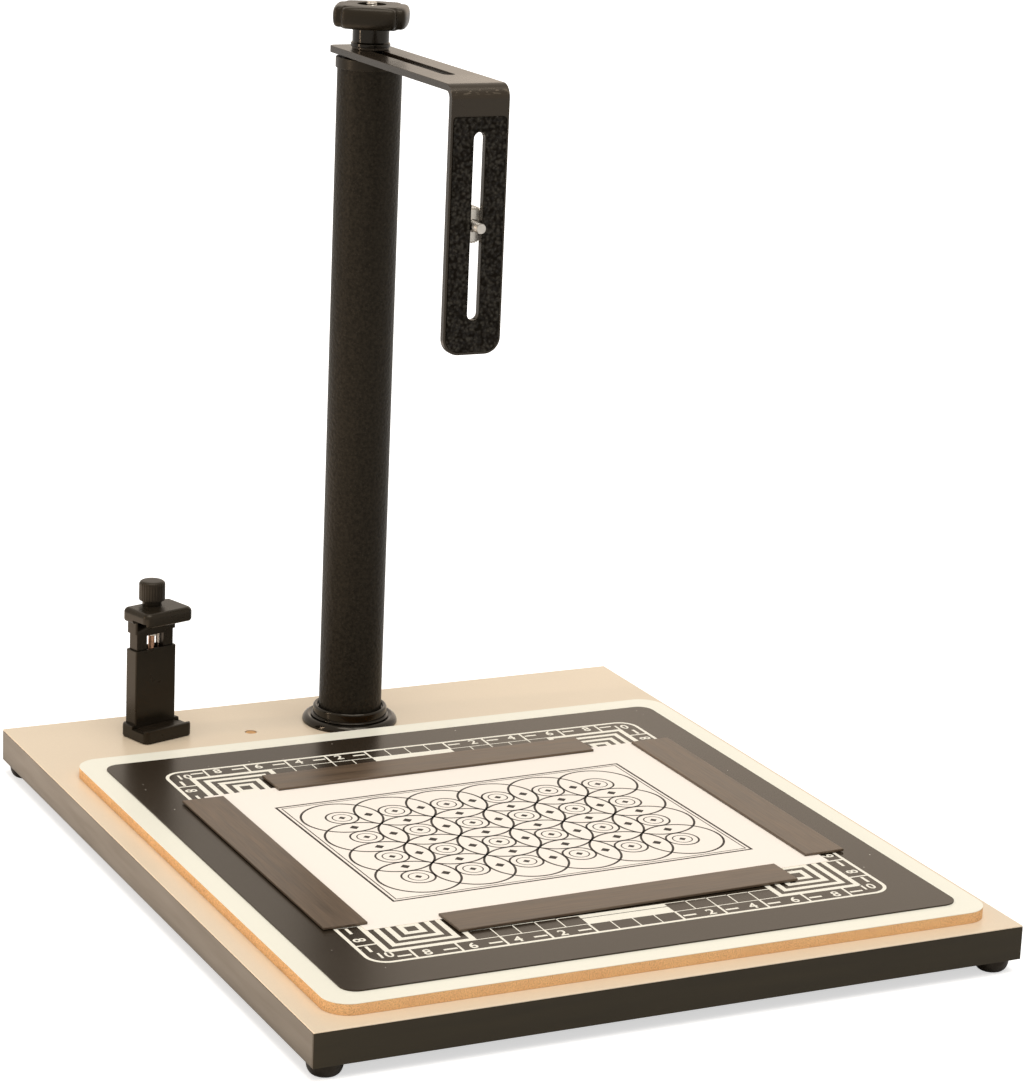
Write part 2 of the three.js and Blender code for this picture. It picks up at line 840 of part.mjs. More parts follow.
// The removable board, with z = 0 at its underside
function magneticBoard() {
  const group = new THREE.Group();
  group.position.set(columnOffset, boardY, baseTop);
  const core = slab(roundedRectangle(boardWidth, boardDepth, boardCornerRadius), boardCoreThickness);
  const face = slab(roundedRectangle(boardWidth, boardDepth, boardCornerRadius), boardFaceThickness);
  const mat = slab(roundedRectangle(matWidth, matDepth, matCornerRadius), matThickness);
  const sheet = slab(rectangle(sheetWidth, sheetDepth), sheetThickness);
  const [sheetXShare, sheetYShare] = sheetPlaceShare;
  const sheetMesh = piece('sample_sheet', sheet, paperWhite);
  sheetMesh.rotation.z = sheetTurn;
  group.add(
    piece('board_core', core, boardFibre),
    placed(piece('board_face', face, paleFace), 0, 0, boardCoreThickness),
    placed(piece('board_mat', mat, matBlack), 0, matY, matBottom),
    placed(sheetMesh, sheetXShare * matWidth, matY + sheetYShare * matDepth, sheetBottom),
  );
  for (const { name, placeShare, turn } of magnetPlaces) {
    const bar = piece(name, slab(rectangle(barLength, barDepth), magnetThickness, magnetBevel), magnetBrown);
    bar.rotation.z = turn;
    const [xShare, yShare] = placeShare;
    group.add(placed(bar, xShare * matWidth, matY + yShare * matDepth, magnetBottom));
  }
  return group;
}

// One jaw: a rounded slab with a lip across its tip, cut on its upper side
function jawGeometry(backOfSeat) {
  const outline = roundedRectangle(jawWidth, jawDepth, jawCornerRadius);
  const block = slab(outline, jawHeight, jawEdge, smallArcSteps).translate(0, jawY, 0);
  const seatFront = jawFront + jawLip;
  const seat = slab(rectangle(jawWidth + 2 * overrun, backOfSeat - seatFront), jawLipHeight + overrun);
  return cut(block, seat.translate(0, (backOfSeat + seatFront) / 2, jawHeight - jawLipHeight));
}

function bodyBlock(width, depth, from, to, radius, bevel = 0) {
  const block = slab(roundedRectangle(width, depth, radius), to - from, bevel, smallArcSteps);
  return block.translate(0, bodyAxisY, from);
}

// The nut rides in a hexagonal pocket on a rib between the two legs of the slide
function clampBodyGeometry() {
  const shell = bodyBlock(bodyWidth, bodyDepth, 0, bodyHeight, bodyCornerRadius, bodyEdge);
  const hollow = bodyBlock(innerWidth, innerDepth, jawHeight, bodyHeight + overrun, bodyEdge);
  const ribShape = rectangle(nutBossWidth, innerDepth + bodyWall);
  const rib = slab(ribShape, nutBossHeight).translate(0, bodyAxisY, nutBossTop - nutBossHeight);
  const pocket = rod(nutRadius + clearance, nutHeight + restGap + overrun, hexFacets);
  const pocketPlaced = pocket.translate(0, bodyAxisY, nutBossTop - nutHeight - restGap);
  const bore = rod(clampBore, nutBossHeight + 2 * overrun);
  const borePlaced = bore.translate(0, bodyAxisY, nutBossTop - nutBossHeight - overrun);
  const insertHole = rod(tripodInsertRadius + clearance, tripodInsertLength + clearance + overrun);
  const hollowShell = cut(join(jawGeometry(-bodyDepth), shell), hollow);
  return cut(join(hollowShell, rib), pocketPlaced, borePlaced, insertHole.translate(0, bodyAxisY, -overrun));
}

// The upper jaw hangs a neck block and a two-legged slide that runs in the body
function clampJawGeometry() {
  const upper = jawGeometry(bodyAxisY - neckDepth / 2).translate(0, 0, -jawHeight);
  upper.rotateY(Math.PI).translate(0, 0, jawUnderside);
  const neckRadius = bodyCornerRadius;
  const slideWidth = innerWidth - 2 * clearance;
  const slideDepth = innerDepth - 2 * clearance;
  const slideTop = neckBottom + overrun;
  const neck = bodyBlock(neckWidth, neckDepth, neckBottom, jawUnderside + jawEdge, neckRadius);
  const slide = bodyBlock(slideWidth, slideDepth, slideBottom, slideTop, bodyEdge);
  const windowShape = rectangle(slideWindow, bodyDepth);
  const windowHeight = bridgeBottom - slideBottom + overrun;
  const window = slab(windowShape, windowHeight).translate(0, bodyAxisY, slideBottom - overrun);
  const bore = rod(clampBore, jawSpan - bridgeBottom + 2 * overrun);
  return cut(join(upper, neck, slide), window, bore.translate(0, bodyAxisY, bridgeBottom - overrun));
}

// Two wires beside the screw steady the slide between the nut's rib and its legs
function guideRods() {
  const x = (slideWindow + nutBossWidth) / 4;
  const wire = rod(guideRodRadius, bridgeBottom - restGap - slideBottom, smallFacets / 2);
  return [
    placed(piece('clamp_guide_rod_left', wire, zincSteel), -x, bodyAxisY, slideBottom),
    placed(piece('clamp_guide_rod_right', wire, zincSteel), x, bodyAxisY, slideBottom),
  ];
}

function clampKnobGeometry() {
  const neckTop = clampKnobNeckHeight;
  const top = neckTop + clampKnobHeight;
  const chamfer = clampKnobEdge / 2;
  const grip = turned([
    [0, neckTop],
    [clampKnobRadius - chamfer, neckTop],
    [clampKnobRadius, neckTop + chamfer],
    ...arc(clampKnobRadius - clampKnobEdge, top - clampKnobEdge, clampKnobEdge, 0, Math.PI / 2),
    [0, top],
  ]);
  const flutes = slab(wavyOutline(clampKnobRadius, fluteDepth, fluteCount), top);
  const neck = rod(clampKnobNeckRadius, neckTop + overrun);
  const boreDepth = clampScrewTop + clearance - clampKnobBottom;
  const bore = rod(clampBore, boreDepth + overrun).translate(0, 0, -overrun);
  return cut(join(trim(grip, flutes), neck), bore);
}

function jawPadGeometry(back) {
  const front = jawFront + jawLip + clearance;
  const width = jawWidth - 2 * jawCornerRadius;
  return slab(rectangle(width, back - front), jawPadThickness).translate(0, (back + front) / 2, 0);
}

// The phone clamp stands loose on the board, its local origin behind its lower jaw
function phoneClamp() {
  const group = new THREE.Group();
  group.position.set(clampX, clampY, baseTop + restGap);
  group.rotation.z = clampTurn;
  const lowerSeat = jawHeight - jawLipHeight + restGap;
  const upperSeat = jawUnderside + jawLipHeight - restGap - jawPadThickness;
  const lowerPad = jawPadGeometry(-bodyDepth - clearance);
  const upperPad = jawPadGeometry(bodyAxisY - neckDepth / 2 - clearance);
  const insert = ring(tripodInsertRadius, tripodBoreRadius, tripodInsertLength, 0, smallFacets);
  const nut = cut(rod(nutRadius, nutHeight, hexFacets), drill(0, 0, clampBore, -overrun, nutHeight + overrun));
  const screw = rod(clampScrewRadius, clampScrewTop - clampScrewBottom);
  const keeper = ring(ringRadius, clampBore, ringThickness, 0, smallFacets);
  const keeperBottom = bridgeBottom - restGap - ringThickness;
  const nutBottom = nutBossTop - nutHeight;
  group.add(
    piece('clamp_body', clampBodyGeometry(), mouldedBlack),
    placed(piece('clamp_lower_pad', lowerPad, blackRubber), 0, 0, lowerSeat),
    placed(piece('clamp_tripod_insert', insert, brass), 0, bodyAxisY, 0),
    placed(piece('clamp_nut', nut, brass), 0, bodyAxisY, nutBottom),
    piece('clamp_upper_jaw', clampJawGeometry(), mouldedBlack),
    placed(piece('clamp_upper_pad', upperPad, blackRubber), 0, 0, upperSeat),
    ...guideRods(),
    placed(piece('clamp_screw', screw, brass), 0, bodyAxisY, clampScrewBottom),
    placed(piece('clamp_keeper_ring', keeper, zincSteel), 0, bodyAxisY, keeperBottom),
    placed(piece('clamp_knob', clampKnobGeometry(), mouldedBlack), 0, bodyAxisY, clampKnobBottom),
  );
  return group;
}

const group = new THREE.Group();
group.add(baseboard(), column(), swingArm(), magneticBoard(), phoneClamp());

export default group;
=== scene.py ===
"""Looks for a copy stand with its magnetic board, bars, sample sheet and phone clamp."""

import math

import bmesh
import bpy
from bpy.props import FloatProperty, FloatVectorProperty, IntProperty, PointerProperty
from mathutils import Matrix, Vector


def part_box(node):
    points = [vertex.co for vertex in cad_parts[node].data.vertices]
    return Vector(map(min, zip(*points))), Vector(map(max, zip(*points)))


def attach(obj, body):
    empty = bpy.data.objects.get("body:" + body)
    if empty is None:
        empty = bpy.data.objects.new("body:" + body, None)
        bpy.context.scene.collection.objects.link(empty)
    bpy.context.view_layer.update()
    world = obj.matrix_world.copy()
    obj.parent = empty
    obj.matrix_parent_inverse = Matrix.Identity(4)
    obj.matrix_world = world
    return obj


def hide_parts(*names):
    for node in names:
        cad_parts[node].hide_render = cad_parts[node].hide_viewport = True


bl_info = {
    "name": "Copy stand",
    "version": (1, 0, 0),
    "blender": (4, 5, 0),
    "location": "3D View > Sidebar > Copy stand",
    "description": "Models the finish pieces of a copy stand over its fixed frame",
    "category": "Object",
}

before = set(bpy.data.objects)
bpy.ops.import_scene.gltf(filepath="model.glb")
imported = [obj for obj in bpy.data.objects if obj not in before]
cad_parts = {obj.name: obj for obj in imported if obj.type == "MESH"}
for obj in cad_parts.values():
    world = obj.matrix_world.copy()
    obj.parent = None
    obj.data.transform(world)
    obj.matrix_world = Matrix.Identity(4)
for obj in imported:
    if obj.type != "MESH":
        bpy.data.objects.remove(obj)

AXIS_Y = Vector((0, 1, 0))
AXIS_Z = Vector((0, 0, 1))
QUARTER = math.pi / 2
SAME = 1e-5  # places nearer than this are one place
MERGE = SAME / 10
SMOOTH_ANGLE = math.radians(32)
SHARP_ANGLE = math.radians(60)
WARM = (1.0, 0.90, 0.76)  # tint of the gloss on the dark pieces
LOOSE = 1.08  # a bore's radius over that of the stud in it
THREAD_RINGS = 6  # rings that draw one turn of a thread


# Places taken from the frame
def centre(node):
    low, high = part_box(node)
    return (low + high) / 2


def size(node):
    low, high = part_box(node)
    return high - low


def radius_of(node):
    return size(node).x / 2


def heights(node):
    low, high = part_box(node)
    return low.z, high.z


def stood_on(node, turn=0.0):
    """Takes a shape drawn round the Z axis to a node's middle, turned about Z."""
    middle = centre(node)
    return Matrix.Translation((middle.x, middle.y, 0)) @ Matrix.Rotation(turn, 4, "Z")


# Shader values as Python expressions
class Level:
    """A value that varies over a surface; Python's operators add the Math nodes."""

    def __init__(self, nodes, socket):
        self.nodes = nodes
        self.socket = socket

    def math(self, operation, first, second):
        return self.nodes.node("Math", {0: first, 1: second}, operation=operation)

    def __add__(self, other):
        return self.math("ADD", self, other)

    def __radd__(self, other):
        return self.math("ADD", other, self)

    def __sub__(self, other):
        return self.math("SUBTRACT", self, other)

    def __rsub__(self, other):
        return self.math("SUBTRACT", other, self)

    def __mul__(self, other):
        return self.math("MULTIPLY", self, other)

    def __rmul__(self, other):
        return self.math("MULTIPLY", other, self)

    def between(self, low, high):
        """0 at low, 1 at high, held to that range."""
        return self.nodes.node("MapRange", {"From Min": low, "From Max": high, "Value": self})


class Nodes:
    """A node tree that starts empty."""

    def __init__(self, owner):
        owner.use_nodes = True
        self.tree = owner.node_tree
        self.tree.nodes.clear()

    def node(self, kind, inputs=None, output=0, **settings):
        """Adds a node with its settings and its inputs, and gives its output."""
        node = self.tree.nodes.new("ShaderNode" + kind)
        for name, value in settings.items():
            setattr(node, name, value)
        self.fill(node, inputs or {})
        return Level(self, node.outputs[output]) if node.outputs else None

    def fill(self, node, inputs):
        for name, value in inputs.items():
            socket = node.inputs[name]
            if isinstance(value, Level):
                self.tree.links.new(value.socket, socket)
            elif socket.type == "RGBA":
                socket.default_value = (*value, 1)
            else:
                socket.default_value = value


class Finish(Nodes):
    """One procedural material on the principled shader, patterned in object coordinates."""

    made = {}

    def __init__(self, name, **constants):
        self.material = bpy.data.materials.new(name)
        self.made[name] = self.material
        super().__init__(self.material)
        self.principled = self.tree.nodes.new("ShaderNodeBsdfPrincipled")
        self.node("OutputMaterial", {"Surface": Level(self, self.principled.outputs[0])})
        self.place = self.node("TexCoord", output="Object")
        self.set(**constants)

    def set(self, **inputs):
        """Sets the principled shader's sockets; a name's underscores stand for spaces."""
        named_sockets = {name.replace("_", " "): value for name, value in inputs.items()}
        self.fill(self.principled, named_sockets)

    def stretched(self, share, turn=0.0):
        """The place with each axis multiplied by its share, after a turn about Z."""
        inputs = {"Vector": self.place, "Scale": share, "Rotation": (0, 0, turn)}
        return self.node("Mapping", inputs, vector_type="POINT")

    def noise(self, scale, detail=3.0, place=None, roughness=0.5):
        inputs = {"Scale": scale, "Detail": detail, "Roughness": roughness}
        return self.node("TexNoise", {**inputs, "Vector": place or self.place})

    def cells(self, scale, place=None, output="Distance", **settings):
        inputs = {"Scale": scale, "Vector": place or self.place}
        return self.node("TexVoronoi", inputs, output, **settings)

    def pebbles(self, scale):
        return self.cells(scale, feature="SMOOTH_F1")

    def mix(self, amount, first, second, **settings):
        inputs = {0: amount, 6: first, 7: second}
        return self.node("Mix", inputs, 2, data_type="RGBA", **settings)

    def tone(self, amount, colour, dark, light):
        """From a darker to a lighter shade of a colour, each given as a share of it."""
        return self.mix(amount, [c * dark for c in colour], [min(1, c * light) for c in colour])

    def darken(self, colour, amount, floor):
        """The colour multiplied by a level between floor and 1."""
        level = amount.between(0, 1) * (1 - floor) + floor
        grey = self.node("CombineColor", {0: level, 1: level, 2: level})
        return self.mix(1.0, colour, grey, blend_type="MULTIPLY")

    def bump(self, height, depth, strength=1.0):
        inputs = {"Height": height, "Distance": depth, "Strength": strength}
        self.set(Normal=self.node("Bump", inputs))


# Modelling by hand
def clear_selection():
    bpy.ops.object.select_all(action="DESELECT")


def take(piece):
    clear_selection()
    piece.select_set(True)
    bpy.context.view_layer.objects.active = piece


def named(name):
    piece = bpy.context.object
    piece.name = name
    piece.data.name = name
    return piece


def settle(piece, matrix=None):
    """Puts a piece's place and turn, and any further move, into its mesh."""
    if matrix is not None:
        piece.matrix_world = matrix @ piece.matrix_world
    take(piece)
    bpy.ops.object.transform_apply(location=True, rotation=True, scale=True)
    return piece


def block(name, low, high):
    clear_selection()
    low, high = Vector(low), Vector(high)
    bpy.ops.mesh.primitive_cube_add(size=1, location=(low + high) / 2, scale=high - low)
    return settle(named(name))


def modify(piece, kind, **settings):
    """Adds a modifier with its settings and applies it."""
    take(piece)
    bpy.ops.object.modifier_add(type=kind)
    modifier = piece.modifiers[-1]
    for name, value in settings.items():
        setattr(modifier, name, value)
    bpy.ops.object.modifier_apply(modifier=modifier.name)
    return piece


def begin_edit(piece, kind, action="DESELECT"):
    take(piece)
    bpy.ops.object.mode_set(mode="EDIT")
    bpy.ops.mesh.select_mode(type=kind)
    bpy.ops.mesh.select_all(action=action)
    return bmesh.from_edit_mesh(piece.data)


def end_edit():
    bpy.ops.object.mode_set(mode="OBJECT")


def pick_edges(piece, test):
    """Enters edit mode with the edges selected whose two ends pass the test."""
    sketch = begin_edit(piece, "EDGE")
    for edge in sketch.edges:
        if test(*(corner.co for corner in edge.verts)):
            edge.select_set(True)
    bmesh.update_edit_mesh(piece.data)


def pick_faces(piece, test):
    """Enters edit mode with the faces selected whose middle and normal pass the test."""
    sketch = begin_edit(piece, "FACE")
    for face in sketch.faces:
        if test(face.calc_center_median(), face.normal):
            face.select_set(True)
    bmesh.update_edit_mesh(piece.data)


def along(axis, **places):
    """Tests whether an edge runs along an axis, at the places given on the other axes."""
    others = [name for name in "xyz" if name != axis]

    def test(start, end):
        straight = all(abs(getattr(start, name) - getattr(end, name)) < SAME for name in others)
        return straight and all(
            abs(getattr(start, name) - place) < SAME for name, place in places.items()
        )

    return test


def round_edges(piece, width, segments, test):
    pick_edges(piece, test)
    bpy.ops.mesh.bevel(offset=width, offset_type="OFFSET", segments=segments, affect="EDGES")
    end_edit()
    return piece


def soften(piece, width, segments=2, limit=SMOOTH_ANGLE, held=True):
    """Rounds every edge sharper than the limit, narrower where it would overlap if held."""
    modify(piece, "BEVEL", width=width, segments=segments, limit_method="ANGLE",
           angle_limit=limit, use_clamp_overlap=held)
    return shade(piece)


def shade(piece, angle=SMOOTH_ANGLE):
    take(piece)
    bpy.ops.object.shade_smooth_by_angle(angle=angle)
    return piece


def carve(piece, *cutters):
    """Cuts the other pieces out, which are then gone."""
    for cutter in cutters:
        modify(piece, "BOOLEAN", operation="DIFFERENCE", solver="EXACT", object=cutter)
        bpy.data.objects.remove(cutter)
    return piece


def turned(name, profile, facets=96, solid=True):
    """Draws a circle up through a profile's rings, each a radius and a height."""
    radius, height = profile[0]
    clear_selection()
    bpy.ops.mesh.primitive_circle_add(
        vertices=facets,
        radius=radius,
        location=AXIS_Z * height,
        fill_type="NGON" if solid else "NOTHING",
    )
    piece = named(name)
    bpy.ops.object.mode_set(mode="EDIT")
    for next_radius, next_height in profile[1:]:
        move = {"value": (0, 0, next_height - height), "orient_type": "GLOBAL"}
        bpy.ops.mesh.extrude_region_move(TRANSFORM_OT_translate=move)
        share = next_radius / radius
        pivot = AXIS_Z * next_height
        bpy.ops.transform.resize(value=(share, share, 1), center_override=pivot)
        radius, height = next_radius, next_height
    bpy.ops.mesh.select_all(action="SELECT")
    bpy.ops.mesh.remove_doubles(threshold=MERGE)
    bpy.ops.mesh.normals_make_consistent(inside=False)
    end_edit()
    return shade(settle(piece))


def arc(radius, height, reach, start, end, steps=3):
    """Rings of an arc round a point of a profile, between two angles in degrees."""
    rings = []
    for step in range(steps + 1):
        angle = math.radians(start + (end - start) * step / steps)
        rings.append((radius + reach * math.cos(angle), height + reach * math.sin(angle)))
    return rings


def rod(name, radius, bottom, top, edge=0.0, facets=48):
    """A round rod along Z, its two edges rounded if a radius is given."""
    if not edge:
        return turned(name, [(radius, bottom), (radius, top)], facets)
    lower = arc(radius - edge, bottom + edge, edge, -90, 0)
    upper = arc(radius - edge, top - edge, edge, 0, 90)
    return turned(name, [*lower, *upper], facets)


def ring(name, outer, inner, bottom, top, edge, facets=96):
    """A washer or tube along Z with its four edges rounded, as a closed profile."""
    profile = [
        *arc(outer - edge, bottom + edge, edge, -90, 0),
        *arc(outer - edge, top - edge, edge, 0, 90),
        *arc(inner + edge, top - edge, edge, 90, 180),
        *arc(inner + edge, bottom + edge, edge, 180, 270),
        (outer - edge, bottom),
    ]
    return turned(name, profile, facets, solid=False)


def reshape(piece, share_at):
    """Moves corners in or out from the Z axis by a share of their reach, angle and height."""
    for corner in piece.data.vertices:
        x, y, height = corner.co
        share = share_at(math.hypot(x, y), math.atan2(y, x), height)
        corner.co.x *= share
        corner.co.y *= share


def threaded(name, radius, bottom, top, pitch, depth, facets=32):
    """A threaded rod along Z, tapered over one pitch at its ends."""
    count = max(2, round((top - bottom) / pitch * THREAD_RINGS))
    rings = [(radius, bottom + (top - bottom) * step / count) for step in range(count + 1)]
    piece = turned(name, rings, facets)

    def helix(reach, angle, height):
        valley = 1 - abs(2 * ((height / pitch - angle / (2 * math.pi)) % 1) - 1)
        near_end = min(height - bottom, top - height)
        taper = max(0.0, 1 - near_end / pitch) * depth
        return (radius - max(depth * (1 - valley), taper)) / radius

    reshape(piece, helix)
    return shade(piece, SHARP_ANGLE)


def thicken(piece, depth):
    """Turns flat faces that look up into closed slabs that reach down by a depth."""
    return modify(piece, "SOLIDIFY", thickness=depth, offset=-1)


def copied(piece, name, matrix):
    """A copy with its own mesh, moved by a matrix that goes into the mesh."""
    take(piece)
    bpy.ops.object.duplicate(linked=False)
    return settle(named(name), matrix)


def merged_copy(node, name):
    """A copy of a frame node with its corners merged and its flat faces made whole."""
    piece = bpy.data.objects.new(name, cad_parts[node].data.copy())
    bpy.context.scene.collection.objects.link(piece)
    begin_edit(piece, "VERT", "SELECT")
    bpy.ops.mesh.remove_doubles(threshold=MERGE)
    bpy.ops.mesh.dissolve_limited(angle_limit=math.radians(0.5))
    end_edit()
    return piece


def wear(piece, finish):
    piece.data.materials.clear()
    piece.data.materials.append(Finish.made[finish])


def fit(piece, body, slot, *nodes, look=None):
    """Gives a finished piece its finish, named by the slot unless a look is given, hangs it from
    its body, and hides the nodes it stands for.
    """
    wear(modify(piece, "WEIGHTED_NORMAL", keep_sharp=True), look or slot)
    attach(piece, body)
    if nodes:
        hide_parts(*nodes)


# Sizes and colours that a user would change
def length(name, default, description):
    return FloatProperty(
        name=name, default=default, description=description, unit="LENGTH", precision=5
    )


def angle(name, degrees, description):
    return FloatProperty(
        name=name, default=math.radians(degrees), description=description, subtype="ANGLE"
    )


def count(name, default, description, least=1):
    return IntProperty(name=name, default=default, description=description, min=least)


def strength(name, default, description, unit="NONE"):
    return FloatProperty(name=name, default=default, description=description, unit=unit, min=0)


def colour(name, default, description):
    return FloatVectorProperty(
        name=name, default=default, description=description, subtype="COLOR", size=3, min=0, max=1
    )


class FinishColours(bpy.types.PropertyGroup):
    laminate: colour("Laminate", (0.765, 0.64, 0.48), "Beige laminate on the baseboard")
    chips: colour("Chips", (0.50, 0.33, 0.17), "Pressed chips inside the baseboard")
    backer: colour("Backer", (0.075, 0.058, 0.043), "Backing sheet under the baseboard")
    backer_dark: colour("Dark backer", (0.035, 0.026, 0.018), "Strands in that sheet")
    band: colour("Edge band", (0.0135, 0.0100, 0.0040), "Dark band round the baseboard")
    rubber: colour("Rubber", (0.007, 0.005, 0.003), "Feet, grip pad and jaw pads")
    wood: colour("Plug wood", (0.72, 0.40, 0.17), "Plug in the spare hole")
    powder: colour("Powder coat", (0.015, 0.0125, 0.009), "Textured paint of the column")
    fibre: colour("Fibre", (0.045, 0.037, 0.028), "Friction disc under the arm")
    fibre_dark: colour("Dark fibre", (0.012, 0.010, 0.008), "Strands in that disc")
    moulding: colour("Moulding", (0.011, 0.0085, 0.0055), "Black moulded plastic")
    paint: colour("Satin paint", (0.011, 0.0075, 0.0045), "Satin paint of the bracket")
    worn: colour("Worn paint", (0.24, 0.20, 0.15), "Paint rubbed through at the bend")
    board_edge: colour("Board edge", (1.00, 0.57, 0.275), "Raw edge of the magnetic board")
    board_face: colour("Board face", (0.89, 0.875, 0.755), "Pale face of the magnetic board")
    mat: colour("Mat", (0.024, 0.0175, 0.0115), "Black mat with the printed scale")
    dust: colour("Dust", (0.7, 0.66, 0.58), "Specks of dust on the mat")
    paper: colour("Paper", (0.97, 0.90, 0.82), "Sample sheet")
    magnet: colour("Magnet bar", (0.115, 0.076, 0.046), "Flexible magnetic bars")
    print_white: colour("Print", (0.92, 0.89, 0.78), "Printed scale on the mat")
    ink: colour("Ink", (0.030, 0.026, 0.022), "Drawing on the sample sheet")
    steel: colour("Steel", (0.62, 0.60, 0.56), "Zinc-plated steel")
    brass: colour("Brass", (0.62, 0.38, 0.26), "Clamp screw, nut and inserts")


class BaseboardSizes(bpy.types.PropertyGroup):
    laminate_edge: length("Laminate edge", 0.0004, "Bevel of the laminate's edge")
    band_edge: length("Band edge", 0.0003, "Rounding of the edge bands")
    plug_margin: length("Plug margin", 0.0003, "Gap round the wood plug")
    foot_edge: length("Foot edge", 0.0008, "Rounding of a foot's tread")


class ColumnSizes(bpy.types.PropertyGroup):
    wall: length("Tube wall", 0.00165, "Wall of the column's tube")
    skirt: length("Skirt", 0.0036, "Radius of the flange's rounded skirt")
    bead: length("Bead", 0.00055, "Radius of the small bead above the skirt")
    neck: length("Neck", 0.0225, "Outer radius of the flange's neck")
    lip: length("Lip", 0.0013, "Rounding of the neck's lip")
    gap: length("Gap", 0.0001, "Gap between the flange and the tube")
    thread_pitch: length("Thread pitch", 0.00127, "Pitch of the quarter-inch thread")
    thread_depth: length("Thread depth", 0.00042, "Depth of the thread")


class BracketSizes(bpy.types.PropertyGroup):
    thickness: length("Bar thickness", 0.004, "Thickness of the bent bar")
    bend: length("Bend radius", 0.008, "Outer radius of the bend")
    leg_corner: length("Leg corner", 0.0095, "Corner radius at the foot of the leg")
    tail_corner: length("Tail corner", 0.0048, "Corner radius at the back of the arm")
    slot_width: length("Slot width", 0.0071, "Width of both slots")
    arm_slot_tail: length("Arm slot tail", 0.0085, "How far the arm slot runs behind the stud")
    arm_slot_front: length("Arm slot front", 0.0397, "Bar left in front of the arm slot")
    leg_slot_foot: length("Leg slot foot", 0.01955, "Bar left below the leg slot")
    leg_slot_head: length("Leg slot head", 0.02595, "Bar left above the leg slot")
    edge: length("Edge", 0.00045, "Rounding of the bar's edges")
    pebble: length("Pebble", 0.00035, "Height of the grip pad's pebbles")
    knurls: count("Knurls", 40, "Ridges round the thumbscrew's head")
    knurl: FloatProperty(
        name="Knurl", default=0.045, description="Depth as a share of the radius", subtype="FACTOR"
    )


class KnobSizes(bpy.types.PropertyGroup):
    boss_radius: length("Boss radius", 0.01075, "Radius of the round boss")
    boss_height: length("Boss height", 0.01095, "Height of the boss under the lobes")
    boss_foot: length("Boss foot", 0.0116, "Radius of the boss's foot")
    lobe_side: length("Lobe side", 0.0162, "Half the width of a lobe")
    lobe_step: length("Lobe step", 0.0060, "How far a lobe stands out")
    lobe_corner: length("Lobe corner", 0.0026, "Cut at a lobe's corners before they are rounded")
    notch: length("Notch", 0.0005, "How far the corner between two lobes is filled")
    edge: length("Edge", 0.0025, "Cut at the lobes' rims before they are rounded")
    recess_radius: length("Recess radius", 0.0085, "Radius of the recess round the stud")
    recess_depth: length("Recess depth", 0.003, "Depth of that recess")
    turn: angle("Turn", -28.8, "How far the knob is turned")


class BoardSizes(bpy.types.PropertyGroup):
    board_corner: length("Board corner", 0.0145, "Corner radius of the magnetic board")
    mat_corner: length("Mat corner", 0.009, "Corner radius of the mat")
    edge: length("Edge", 0.00025, "Rounding of the board's edges")
    skin_edge: length("Skin edge", 0.0002, "Rounding of the board's pale face")
    unit: length("Scale unit", 0.0127, "Half-inch unit of the printed scale")
    outer_line: length("Outer line", 0.002, "Width of the scale's outer line")
    cross_line: length("Cross line", 0.0013, "Width of the scale's cross lines")
    thin_line: length("Thin line", 0.0007, "Width of the scale's thin lines")
    dash: length("Dash", 0.0017, "Width of the scale's dashes")
    numeral: length("Numeral", 0.0095, "Size of the scale's numbers")
    stroke: length("Stroke", 0.00018, "How much bolder the numbers are drawn")
    corner_line: length("Corner line", 0.003175, "Width of the nested squares' lines")
    ink_depth: length("Ink depth", 0.00006, "How deep the print and ink are set in")
    scale_x: length("Scale X", 0.0025, "Middle of the printed scale along X")
    scale_y: length("Scale Y", -0.0373, "Middle of the printed scale along Y")
    lattice_pitch: length("Lattice pitch", 0.0325, "Distance between the drawing's circles")
    lattice_columns: count("Lattice columns", 6, "Circles across")
    lattice_rows: count("Lattice rows", 4, "Circles in depth")
    sheet_turn: angle("Sheet turn", 1.5, "How far the sample sheet is turned")


class ClampSizes(bpy.types.PropertyGroup):
    turn: angle("Turn", 17, "How far the clamp is turned")
    edge: length("Edge", 0.00045, "Rounding of the clamp's edges")
    knob_radius: length("Knob radius", 0.0078, "Radius of the clamp's knob")
    knob_neck: length("Knob neck", 0.00575, "Radius of the knob's neck")
    neck_height: length("Neck height", 0.0028, "Height of the knob's neck")
    knob_edge: length("Knob edge", 0.0022, "Rounding of the knob's top")
    jaw_width: length("Jaw width", 0.0351, "Width of the upper jaw's slab")
    jaw_front: length("Jaw front", 0.02425, "How far the slab reaches before the clamp's axis")
    jaw_back: length("Jaw back", 0.00105, "How far it reaches behind that axis")
    jaw_height: length("Jaw height", 0.00845, "Height of the slab")
    jaw_corner: length("Jaw corner", 0.0048, "Corner radius of the slab's tip")
    back_corner: length("Back corner", 0.0036, "Radius of the slab's other corners")
    jaw_lip: length("Jaw lip", 0.0022, "Width of the lip under the slab's tip")
    jaw_lip_height: length("Jaw lip height", 0.0023, "Height of that lip")
    seat_back: length("Seat back", 0.0099, "Where the recess behind the lip ends")
    screw_back: length("Screw back", 0.00520, "How far the clamp's axis lies behind its screw")
    nose: length("Nose", 0.0030, "Rounding of the slab's rims")
    flute: length("Flute", 0.00024, "Depth of the knob's flutes")
    flute_count: count("Flutes", 28, "Flutes round the knob", least=3)
    screw_pitch: length("Screw pitch", 0.0007, "Pitch of the clamp's screw")


